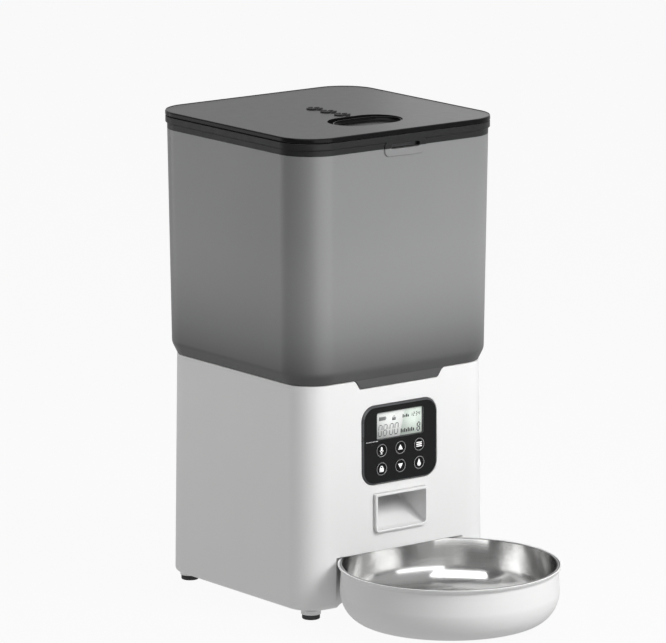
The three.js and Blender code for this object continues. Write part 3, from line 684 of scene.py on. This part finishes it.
def make_feet():
    for name in ("front_left", "front_right", "rear_left", "rear_right"):
        x, y, r, low, high = footprint("foot_" + name)
        profile = [(0, low), (r - 2.4, low), (r - 1.8, low + 0.35), (r - 0.7, low + 0.35), (r, low + 0.9),
                   (r, high), (0, high)]
        pad = lathe("rubber_" + name, soften(profile, (0, 0.2, 0.2, 0.3, 0.3, 0.25, 0), 3), x, y, rubber, 64)
        piece(pad, "base", "rubber_dark", "foot_" + name)
    for k in (1, 2, 3):
        x, y, r, low, high = footprint(f"bowl_pad_{k}")
        profile = [(0, low), (r, low), (r, high), (0, high)]
        pad = lathe(f"rubber_dot_{k}", soften(profile, (0, 0.5, 0.3, 0), 4), x, y, rubber, 48)
        piece(pad, "bowl_tray", "rubber_dark", f"bowl_pad_{k}")


def make_screws():
    """Cross-head screws that go up through the bottom cover into the housing's posts."""
    head, seat, root, crest, pitch = 5, 6.9, 1.1, 1.35, 1.2
    profile = [(0, head), (2.4, head), (3, head + 0.6), (3, seat), (1.4, seat)]
    for k in range(4):
        profile += [(root, 7.6 + pitch * k), (crest, 8.2 + pitch * k)]
    profile += [(root, 12.4), (root, 19.6), (0, 20.8)]
    for k in (1, 2, 3, 4):
        x, y, *_ = footprint(f"bottom_screw_{k}")
        screw = lathe(f"screw_{k}", profile, x, y, zinc, 32)
        for long, short in ((1.9, 0.3), (0.3, 1.9)):
            carve(screw, block("cut", x - long, x + long, y - short, y + short, 4.5, 6.2))
        round_edges(screw, 0.05, 2)
        piece(screw, "base", "zinc_steel", f"bottom_screw_{k}")


make_feet()
make_screws()

# ---- control panel ----


KEYS = [  # (x, z, body's name, printed sign)
    (-17.7, 121.2, "record", "voice"), (0, 121.2, "up", "up"), (17.7, 121.2, "set", "menu"),
    (-17.7, 107.3, "lock", "lock"), (0, 107.3, "down", "down"), (17.7, 107.3, "feed", "drop"),
]


def make_panel():
    """A dark moulded bezel with a chamfered rim; its flat front is a printed film."""
    x0, x1, z0, z1 = PANEL_FACE
    face, back = panel_low.y, panel_high.y
    chamfer, gap, key_hole_r = 1.25, 0.3, 5.2
    flange_y = -84.6

    def outline(grow, y):
        points = rounded(x0 - grow, x1 + grow, z0 - grow, z1 + grow, PANEL_CORNER + grow)
        return [(x, y, z) for x, z in points]

    sides = [  # (how far outside the face's outline, y)
        (-chamfer - 0.3, face), (-chamfer, face + 0.02), (-0.25, face + 0.75), (0, face + 1.05),
        (0, flange_y), (PANEL_FLANGE, flange_y), (PANEL_FLANGE, back),
    ]
    body = skin("panel_bezel", [outline(grow, y) for grow, y in sides], panel_rim)
    room = skin("cut", [outline(-2.6, y) for y in (face + 2.2, back + 1)])
    lens_hole = rounded(lens_low.x - gap, lens_high.x + gap, lens_low.z - gap, lens_high.z + gap, 1.5, 6)
    microphone_hole = lengthwise("cut", -26.5, 126.4, 0.7, *THROUGH_FRONT, 20)
    cutters = [room, prism("cut", lens_hole, frontward, *THROUGH_FRONT), microphone_hole]
    cutters += [lengthwise("cut", x, z, key_hole_r, *THROUGH_FRONT, 48) for x, z, *_ in KEYS]
    carve(body, *cutters)
    front = face * MM + AXIS.y + 0.00015
    paint(body, panel_film, lambda polygon: polygon.center.y < front and abs(polygon.normal.y) > 0.99)
    round_edges(body, 0.12, 2, clamp=False)
    piece(body, "base", "panel_grey", "control_panel")
    dashes = (
        (-32.2, 1.3), (-30.5, 0.7), (-29.4, 1.5), (-27.5, 0.9), (-26.2, 1.4), (-24.4, 0.8), (-23.2, 2.0),
    )
    marks = [rectangle(x, x + width, 128.4, 129.0) for x, width in dashes]
    piece(stamps("panel_mark", marks, frontward, face - 0.04, face + 0.05, key_ring), "base", "panel_grey")


def key_sign(kind):
    """Outlines of a key's printed sign, about the key's centre."""
    if kind == "voice":
        capsule = rounded(-0.75, 0.75, -0.5, 2.6, 0.74, 8)
        cup = band(0, 0.1, 1.25, 1.65, 180, 360)
        return [capsule, cup, rectangle(-0.2, 0.2, -2.4, -1.5), rectangle(-1, 1, -2.75, -2.4)]
    if kind == "up":
        return [[(-2.2, -1.6), (2.2, -1.6), (0, 2.2)]]
    if kind == "down":
        return [[(-2.2, 1.6), (0, -2.2), (2.2, 1.6)]]
    if kind == "menu":
        return [rectangle(-2.6, 2.6, v - 0.4, v + 0.4) for v in (-1.4, 0, 1.4)]
    if kind == "lock":
        legs = [rectangle(u - 0.275, u + 0.275, 0.5, 0.95) for u in (-1.075, 1.075)]
        return [rounded(-1.9, 1.9, -2.4, 0.6, 0.4, 4), band(0, 0.9, 0.8, 1.35, 0, 180), *legs]
    return [arc(0, -1.1, 1.6, -210, 30, 20) + [(0.7, 1.2), (0, 2.9), (-0.7, 1.2)]]


def make_key(x, z, name, kind):
    """A round cap with a flange behind the panel, a light grey ring on its face and a printed sign."""
    body = name + "_button"
    low, high = box_mm(body)
    front, back = low.y, high.y
    cap_r, flange_r, stem_r = 4.9, 6.1, 2
    flange_front, flange_back = -86.3, -85.3
    profile = [
        (0, front + 0.35), (cap_r - 1.6, front + 0.22), (cap_r, front), (cap_r, flange_front),
        (flange_r, flange_front), (flange_r, flange_back), (stem_r, flange_back), (stem_r, back), (0, back),
    ]
    profile = soften(profile, (0, 1, 0.35, 0, 0.2, 0.2, 0, 0.2, 0), 4)

    def turned(points):
        return [[(u, y, v) for u, v in circle(x, z, max(radius, 0.01), 64)] for radius, y in points]

    cap = skin("key_" + name, turned(profile), key_black)
    round_edges(cap, 0.04, 2, 50)
    piece(cap, body, "key_grey", body)
    inner, outer, proud, buried = 4.42, 4.66, front + 0.02, front + 0.3
    ring = turned(((inner, buried), (inner, proud), (outer, proud), (outer, buried)))
    piece(skin("ring_" + name, ring, key_ring, closed=True), body, "key_grey")
    outlines = [moved(outline, x, z) for outline in key_sign(kind)]
    sign = stamps("sign_" + name, outlines, frontward, front + 0.12, front + 0.4, key_print)
    piece(sign, body, "key_grey")


make_panel()
for key in KEYS:
    make_key(*key)

# ---- display ----


SEGMENTS = {  # where each segment starts and ends, in widths and half heights
    "a": (0, 2, 1, 2), "b": (1, 2, 1, 1), "c": (1, 1, 1, 0), "d": (0, 0, 1, 0), "e": (0, 1, 0, 0),
    "f": (0, 2, 0, 1), "g": (0, 1, 1, 1),
}
DIGITS = {"0": "abcdef", "1": "bc", "2": "abged", "3": "abgcd", "4": "fgbc", "8": "abcdefg"}


def segment_digit(digit, x, z, width, height, stroke, slant):
    """Outlines of a seven-segment digit whose lower left corner is at (x, z)."""
    half = height / 2
    outlines = []
    for name in DIGITS[digit]:
        x0, z0, x1, z1 = SEGMENTS[name]
        start, end = Vector((x0 * width, z0 * half)), Vector((x1 * width, z1 * half))
        along = (end - start).normalized() * (stroke / 2)
        side = Vector((-along.y, along.x))
        start, end = start + along * 0.5, end - along * 0.5
        near, far = start + along, end - along
        points = [start, near - side, far - side, end, far + side, near + side]
        outlines.append([(x + p.x + slant * p.y, z + p.y) for p in points])
    return outlines


def digit_row(digits, places, z, *shape):
    return [outline for digit, x in zip(digits, places) for outline in segment_digit(digit, x, z, *shape)]


def faint_print(z0):
    """A clock with its colon, and the signs of a battery and a lock, above the display's lower edge z0."""
    battery, battery_tip = rounded(-18.9, -12.6, 143.4, 146.2, 0.3, 3), rectangle(-12.5, -12.1, 144.3, 145.4)
    lock, shackle = rounded(-6.5, -3.1, 142.4, 144.6, 0.3, 3), band(-4.8, 144.7, 0.75, 1.15, 0, 180, 10)
    clock = digit_row("0800", (-19.7, -15.0, -9.2, -4.5), z0 + 2.1, 3.0, 8.1, 0.72, 0.12)
    colon = [circle(x, z0 + up, 0.38, 12) for x, up in ((-10.6, 4.4), (-10.25, 7.4))]
    return clock + colon + [battery, battery_tip, lock, shackle]


def dark_print():
    """Small digits, one large digit, and bars in place of two words."""
    step, bar, notch = 1.6, 1.05, 0.8
    outlines = digit_row("1234", (10.8, 13.2, 15.6, 18.0), 143.2, 1.4, 2.7, 0.62, 0.1)
    outlines += segment_digit("8", 16.9, 131.5, 2.4, 6.1, 0.84, 0.1)
    for start, end, low, high in ((3.4, 9.8, 143.2, 145.6), (1.6, 14.8, 131.9, 134.9)):
        count = int((end - start) / step)
        for k in range(count):
            x = start + k * (end - start) / count
            outlines.append(rectangle(x, x + bar, low, high - (notch if k % 2 else 0)))
    return outlines


def make_display():
    """A display in two tints that meet along a slanted line, its printed segments, and a clear lens."""
    x0, x1, z0, z1 = lens_low.x, lens_high.x, lens_low.z, lens_high.z
    module_low, module_high = box_mm("lcd_module")
    front, edge = module_low.y, 0.35
    outline = rounded(x0, x1, z0, z1, 1.2, 6)
    body = prism("display_module", outline, frontward, front + 0.1, module_high.y, lcd_body)
    round_edges(body, 0.15, 2)
    piece(body, "base", "lcd_glass", "lcd_module")
    left, right, bottom, top = x0 + edge, x1 - edge, z0 + edge, z1 - edge
    split_low, split_high = (0.6, bottom), (5.6, top)
    for name, corners, material in (
        ("display_left", [(left, bottom), split_low, split_high, (left, top)], lcd_left),
        ("display_right", [split_low, (right, bottom), (right, top), split_high], lcd_right),
    ):
        field = prism(name, corners, frontward, front + 0.04, front + 0.1, material)
        piece(field, "base", "lcd_glass")
    for name, outlines, material in (
        ("display_faint", faint_print(z0), lcd_faint),
        ("display_dark", dark_print(), lcd_dark),
    ):
        piece(stamps(name, outlines, frontward, front, front + 0.04, material), "base", "lcd_glass")
    window = prism("display_lens", outline, frontward, lens_low.y, lens_high.y, lens_clear)
    round_edges(window, 0.1, 2)
    piece(window, "base", "lcd_lens", "lcd_window")


make_display()

# ---- tank ----


def make_tank():
    """A smoky tub with a thick collar at its top, a latch tab and a tongue in front, and an open outlet."""
    floor, top, collar = base_high.z + 0.3, tank_high.z, tank_high.x
    shoulder_half = 92.1
    inner_corner = LID_CORNER - TANK_WALL
    outer = [
        (floor, 88, 25), (TANK_SHOULDER, shoulder_half, LID_CORNER),
        (PLUG_BOTTOM, TANK_TOP_HALF - 0.06, LID_CORNER), (COLLAR_BOTTOM - 0.5, TANK_TOP_HALF, LID_CORNER),
        (COLLAR_BOTTOM, collar, LID_CORNER), (top, collar, LID_CORNER),
    ]
    inner = [
        (top, TANK_TOP_HALF - TANK_WALL, inner_corner),
        (TANK_SHOULDER + 1.2, shoulder_half - TANK_WALL, inner_corner),
        (floor + 2.5, 86.5, 23.5),
    ]
    sections = soften(outer + inner, (0.8, 2.2, 0, 0.3, 0.25, 0.5, 0.5, 2, 0.8), 6)
    tank = skin("tank_body", level_rings(sections), smoke_plastic)
    tab_half, tab_bottom, slot_half = 19.3, 342.7, 13
    tab_outline = rounded(-tab_half, tab_half, tab_bottom, COLLAR_BOTTOM + 1, 4.5, 12)
    tab = eased(prism("add", tab_outline, frontward, -LID_HALF, -TANK_TOP_HALF + 1), 0.45, 4)
    tongue = eased(prism("add", tongue_outline(0), frontward, -88, -85.4), 0.35)
    fuse(tank, tongue, tab)
    slot = prism("cut", rounded(-slot_half, slot_half, 348.2, 352, 1.2, 6), frontward, -97, -88)
    outlet_r = 58.2
    carve(tank, slot, upright("cut", 0, 0, outlet_r, 170, TANK_SHOULDER, 128))
    split_faces(tank, in_frame(PLUG_BOTTOM))
    paint(tank, smoke_collar, lambda polygon: polygon.center.z > in_frame(PLUG_BOTTOM))
    round_edges(tank, 0.2, 2, 40, clamp=False)
    piece(tank, "tank", "smoke_tank", "tank_shell")


def split_faces(obj, height):
    """Cuts the faces that cross a level, so that each lies above or below it."""
    mesh = bmesh.new()
    mesh.from_mesh(obj.data)
    everything = mesh.verts[:] + mesh.edges[:] + mesh.faces[:]
    bmesh.ops.bisect_plane(mesh, geom=everything, plane_co=(0, 0, height), plane_no=(0, 0, 1))
    mesh.to_mesh(obj.data)
    mesh.free()


make_tank()

# ---- lid ----


OPENING_HALF = 30
OPENING_FRONT, OPENING_BACK = -66, -26


def opening(inset):
    """The lid's oval opening, made smaller by inset."""
    r = (OPENING_BACK - OPENING_FRONT) / 2 - inset - 0.01
    half = OPENING_HALF - inset
    return rounded(-half, half, OPENING_FRONT + inset, OPENING_BACK - inset, r, 32)


def paw_print(along):
    """Outlines of a pad and four toes that point right, about a place along the lid's middle line."""
    scale = 0.72
    outlines = [[Vector((6.4 * u, 4.8 * v - 2.5)) for u, v in circle(0, 0, 1, 32)]]
    for side in (-1, 1):
        for x, y, half_width, half_length, tilt in ((7.6, 2.2, 2.3, 3.2, 24), (2.9, 6.6, 2.4, 3.4, 8)):
            turn = Matrix.Rotation(math.radians(-side * tilt), 2)
            oval = [Vector((half_width * u, half_length * v)) for u, v in circle(0, 0, 1, 24)]
            outlines.append([turn @ point + Vector((side * x, y)) for point in oval])
    return [[(scale * p.y, along - scale * p.x) for p in outline] for outline in outlines]


def make_lid():
    """A flat matt plate with glossy edges, an opening for the latch, and a printed trail of paws."""
    bottom, top = lid_low.z, lid_high.z - 0.1
    sections = [
        (bottom, LID_HALF - 0.5, LID_CORNER - 0.5), (bottom + 0.6, LID_HALF, LID_CORNER),
        (top - 0.8, LID_HALF, LID_CORNER), (top, LID_HALF - 0.8, LID_CORNER - 0.8),
    ]
    plate = skin("lid_plate", level_rings(soften(sections, (0, 0.3, 0.4, 0.5))), lid_black)
    carve(plate, prism("cut", opening(0), upward, bottom - 1, top + 1))
    paint(plate, lid_gloss, lambda polygon: abs(polygon.normal.z) < 0.6)
    round_edges(plate, 0.3, 4, 40, clamp=False)
    piece(plate, "lid", "lid_black", "lid_top")
    paws = [outline for along in (-17, 0, 17) for outline in paw_print(along)]
    emblem = stamps("lid_emblem", paws, upward, top - 0.2, lid_high.z - 0.02, emblem_ink)
    piece(emblem, "lid", "lid_black")


make_lid()


def thumb_solid(name, inset, z0, z1, material=None):
    """The part of the opening that stays covered when the latch moves by its travel."""
    travel = 5.8
    outline = opening(inset)
    thumb = prism(name, outline, upward, z0, z1, material)
    meet(thumb, prism("cut", moved(outline, 0, -travel), upward, z0 - 1, z1 + 1))
    return thumb


def make_thumb():
    """The latch's dished thumb piece, with a flange under the lid and a heel in front of the spring."""
    bottom, flange_top, dish_floor, top = 355.6, 358, 358.9, 361.5
    thumb = thumb_solid("latch_thumb", 0.5, bottom, top, lid_gloss)
    carve(thumb, eased(thumb_solid("cut", 1.4, dish_floor, top + 1.5), 1.9, 6, 40))
    flange = prism("add", rounded(-36, 36, -72, -27, 4, 8), upward, bottom, flange_top)
    fuse(thumb, flange, block("add", -4, 4, -28.5, -27, 352.4, bottom + 0.4))
    round_edges(thumb, 0.35, 4, 40, clamp=False)
    piece(thumb, "latch", "lid_black", "latch_button")


def make_spring():
    """A coil along Y that the latch shortens in use; here it is a fixed coil on the lid."""
    low, high = box_mm("latch_spring")
    turns, steps, wire_r, inset = 6, 24, 0.35, 0.4
    r, z = (high.x - low.x) / 2 - wire_r, (high.z + low.z) / 2
    curve = bpy.data.curves.new("latch_coil", "CURVE")
    curve.dimensions = "3D"
    curve.bevel_depth = wire_r * MM
    curve.bevel_resolution = 4
    curve.use_fill_caps = True
    curve.materials.append(zinc)
    spline = curve.splines.new("POLY")
    spline.points.add(turns * steps)
    for k, point in enumerate(spline.points):
        a = 2 * math.pi * k / steps
        y = low.y + inset + (high.y - low.y - 2 * inset) * k / (turns * steps)
        point.co = (*(Vector((r * math.cos(a), y, z + r * math.sin(a))) * MM + AXIS), 1)
    wire = in_scene("wire", curve)
    graph = bpy.context.evaluated_depsgraph_get()
    coil = in_scene("latch_coil", bpy.data.meshes.new_from_object(wire.evaluated_get(graph)))
    bpy.data.objects.remove(wire)
    piece(coil, "lid", "zinc_steel", "latch_spring")
    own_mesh(coil)


make_thumb()
make_spring()

# ---- bowl ----


def quarter(r, z, rx, rz, steps=14):
    """Points of a quarter ellipse from the flat bottom up to the wall at radius r."""
    angles = [math.pi / 2 * k / steps for k in range(steps + 1)]
    return [(r - rx + rx * math.sin(a), z + rz * (1 - math.cos(a))) for a in angles]


def make_holder():
    """The white dish round the bowl, with a stepped rim and a hook that goes under the base."""
    r, top, bottom = holder_high.x, holder_high.z, holder_low.z
    wall, seat, sheet = 81.3, top - 1.9, 2.1
    outside = [(0, bottom)] + quarter(wall, bottom, 19.2, 22.8)
    rim = [(wall + 0.2, top - 4), (r, top), (r - 1.5, top), (r - 1.5, seat), (BOWL_MOUTH + 0.4, seat)]
    inside = quarter(BOWL_R + 0.6, bottom + sheet, 20, 22)[::-1] + [(0, bottom + sheet)]
    profile = outside + soften(rim, (3.6, 0.35, 0.3, 0.2, 0), 6) + inside
    dish = lathe("bowl_dish", profile, 0, BOWL_Y, white_shell, 192)
    fuse(dish, eased(prism("add", rounded(-18, 18, -81.5, -52, 3, 8), upward, 2.6, 5.2), 0.5))
    flat_shading(dish)
    piece(dish, "bowl_tray", "white_shell", "bowl_holder")


def make_bowl():
    """The steel bowl: a flat floor, a round wall and a lip. The floor has a finish of its own, and the lip is
    a much darker steel.
    """
    bottom, top, sheet, lip = bowl_low.z, bowl_high.z, 0.8, 1.4
    mouth, edge = BOWL_MOUTH, bowl_high.x
    rim = [(mouth, top - lip), (edge - 0.3, top - lip), (edge, top - lip / 2), (edge - 0.3, top),
           (mouth - sheet, top)]
    profile = [(0, bottom)] + quarter(BOWL_R, bottom, 20, 20) + soften(rim, (0.3, 0.15, 0.25, 0.3, 0.5), 5)
    profile += quarter(BOWL_R - sheet, bottom + sheet, 19.2, 19.2)[::-1] + [(0, bottom + sheet)]
    bowl = lathe("bowl_steel_dish", profile, 0, BOWL_Y, bowl_wall, 192)
    floor_top, lip_bottom = in_frame(15), in_frame(top - 1.3)
    paint(bowl, bowl_floor, lambda polygon: polygon.normal.z > 0.93 and polygon.center.z < floor_top)
    paint(bowl, bowl_lip, lambda polygon: polygon.normal.z > -0.5 and polygon.center.z > lip_bottom)
    piece(bowl, "bowl_tray", "bowl_steel", "bowl")


make_holder()
make_bowl()

# ---- CAD nodes that stay ----


def dress(node, material, width):
    """Gives a CAD node its finish and fine edges. The weld joins the doubled points of its facets."""
    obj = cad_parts[node]
    obj.data.materials.clear()
    obj.data.materials.append(material)
    for polygon in obj.data.polygons:
        polygon.use_smooth = True
    obj.modifiers.new("weld", "WELD").merge_threshold = 0.002 * MM
    round_edges(obj, width, 2)


FINISHES = [  # (material, width of the rounded edges, nodes)
    (white_shell, 0.3, ("base_deck", "bottom_cover", "battery_door", "sector_cover")),
    (zinc, 0.08, ("contact_plate_front", "contact_plate_rear", "microphone")),
    (board_green, 0.08, ("button_board", "main_board")),
    (black_parts, 0.25, ("power_jack", "gearbox_case", "gearbox_cover", "lid_liner", "latch_bolt",
                         "desiccant_case", "desiccant_cover")),
    (speaker_cone, 0.25, ("speaker",)),
    (steel, 0.25, ("drive_motor", "drive_shaft")),
    (nylon, 0.12, ("motor_pinion", "idler_gear", "output_gear", "rotor", "agitator")),
    (smoke_plastic, 0.25, ("tank_funnel", "metering_cup")),
    (silicone, 0.15, ("outlet_wiper", "lid_seal")),
]
for finish, edge_width, dressed in FINISHES:
    for cad_node in dressed:
        dress(cad_node, finish, edge_width)

# ---- floor, camera and light ----


# The camera sees the floor and the backdrop at these strengths; the object gets weaker light from them.
FLOOR_SEEN = 0.938
FLOOR_FELT = 0.50
BACKDROP_SEEN = 0.945


def direction(azimuth, elevation):
    """The way to something seen from the object; azimuth 0 is the front (-Y) and 90 is the right (+X)."""
    a, e = math.radians(azimuth), math.radians(elevation)
    return Vector((math.sin(a) * math.cos(e), -math.cos(a) * math.cos(e), math.sin(e)))


def seen_or_felt(graph, kind, seen, felt):
    """White light from two nodes of a kind: seen is the camera's strength, and felt is every other ray's."""
    lights = [graph.add(kind, {"Color": (1, 1, 1, 1), "Strength": strength}) for strength in (felt, seen)]
    camera_ray = graph.add("ShaderNodeLightPath").outputs["Is Camera Ray"]
    inputs = {0: camera_ray, 1: lights[0].outputs[0], 2: lights[1].outputs[0]}
    return graph.add("ShaderNodeMixShader", inputs).outputs[0]


def make_floor():
    """A plain pale floor at the frame's zero height, with faint shadows."""
    reach = 9000
    bm = bmesh.new()
    bm.faces.new([bm.verts.new((x, y, 0)) for x, y in rectangle(-reach, reach, -reach, reach)])
    n = Nodes("floor_pale", (0.025, 0.025, 0.025), 1.0)
    n.set("Specular IOR Level", 0.0)
    light = seen_or_felt(n, "ShaderNodeEmission", FLOOR_SEEN, FLOOR_FELT)
    both = n.add("ShaderNodeAddShader", {0: light, 1: n.shader.outputs[0]})
    n.tree.links.new(both.outputs[0], n.tree.nodes["Material Output"].inputs["Surface"])
    floor = object_from("floor", bm, n.material)
    floor.data.transform(Matrix.Translation((0, 0, -AXIS.z)))


def make_camera():
    """The photograph's view: a long lens, from the front left and a little above. Lengths are millimetres."""
    distance, pan_x, pan_z = 4269.94, -4.183, -20.537
    roll = math.radians(-0.053)
    back = direction(-37.565, 11.591)
    level = (-back).cross(Vector((0, 0, 1))).normalized()
    rise = level.cross(-back)
    right = level * math.cos(roll) + rise * math.sin(roll)
    up = rise * math.cos(roll) - level * math.sin(roll)
    target = Vector((0, 0, lid_high.z / 2))
    spot = target + back * distance - right * pan_x - up * pan_z
    camera = in_scene("camera", bpy.data.cameras.new("camera"))
    camera.data.sensor_width = 36
    camera.data.lens = 306.198
    camera.data.clip_end = 60
    turn = Matrix((right, up, back)).transposed().to_4x4()
    camera.matrix_world = Matrix.Translation(spot * MM + AXIS) @ turn
    bpy.context.scene.camera = camera


def softbox(name, spot, target, width, height, power, lights=True, mirrored=True):
    """A lamp at spot that faces target, in metres and watts. It lights surfaces, shows in gloss, or both."""
    lamp = bpy.data.lights.new(name, "AREA")
    lamp.shape = "RECTANGLE"
    lamp.size, lamp.size_y = width, height
    lamp.energy = power
    obj = in_scene(name, lamp)
    obj.location = spot
    obj.rotation_euler = (target - spot).to_track_quat("-Z", "Y").to_euler()
    obj.visible_camera = False
    obj.visible_diffuse = lights
    obj.visible_glossy = mirrored


def make_lights():
    """A key from the front right, a fill from the left, a lamp above, and cards that only show in gloss."""
    middle = Vector((0, 0, 0.16))
    upper = middle + Vector((0, 0, 0.04))
    softbox("key", middle + direction(20, 32) * 0.95, upper, 0.57, 0.45, 7.8, mirrored=False)
    softbox("fill", middle + direction(-110, 28) * 2.2, middle, 1.0, 1.4, 8.0, mirrored=False)
    softbox("top", middle + direction(150, 75) * 1.6, middle, 1.2, 0.8, 8)
    # The strips stay below the lid, so that it never mirrors them.
    low = Vector((AXIS.x, AXIS.y, 0.21))
    softbox("front_strip", low + direction(-3, 0), low, 0.95, 0.38, 2.7, lights=False)
    softbox("left_strip", low + direction(-142, 0), low, 0.7, 0.38, 1.1, lights=False)
    # The bowl mirrors this card, and from the photograph's side the lid mirrors the last one.
    softbox("camera_card", middle + direction(-50, 40) * 1.6, middle, 1.7, 0.9, 17, lights=False)
    lid_middle = Vector((AXIS.x, AXIS.y, lid_high.z * MM))
    mirrored_view = direction(142.4, 11.6)
    glow = lid_middle + mirrored_view + direction(52.4, 0) * 0.28
    softbox("lid_glow", glow, glow - mirrored_view, 0.45, 0.5, 0.25, lights=False)


def make_world():
    """A backdrop that lights the object from behind on the right and from the front, and less elsewhere."""
    world = bpy.data.worlds.new("studio")
    world.use_nodes = True
    world.node_tree.nodes.clear()
    g = Graph(world.node_tree)
    where = g.add("ShaderNodeTexCoord").outputs["Generated"]

    def towards(azimuth, elevation, start, end, low, high):
        """A value that goes from low to high as a ray turns towards a direction."""
        inputs = {0: where, 1: direction(azimuth, elevation)}
        dot = g.add("ShaderNodeVectorMath", inputs, operation="DOT_PRODUCT").outputs["Value"]
        return g.spread(dot, low, high, start, end, interpolation_type="SMOOTHSTEP")

    behind = towards(142, 8, 0.2, 0.9, 0.0, 0.45)
    in_front = towards(20, 20, 0.3, 0.95, 0.0, 0.35)
    overhead = towards(0, 90, -1.0, 1.0, 0.22, 0.12)
    felt = g.math("ADD", g.math("ADD", behind, in_front), overhead)
    surface = seen_or_felt(g, "ShaderNodeBackground", BACKDROP_SEEN, felt)
    g.add("ShaderNodeOutputWorld", {"Surface": surface})
    bpy.context.scene.world = world


make_floor()
make_camera()
make_lights()
make_world()
bpy.context.scene.view_settings.view_transform = "Standard"
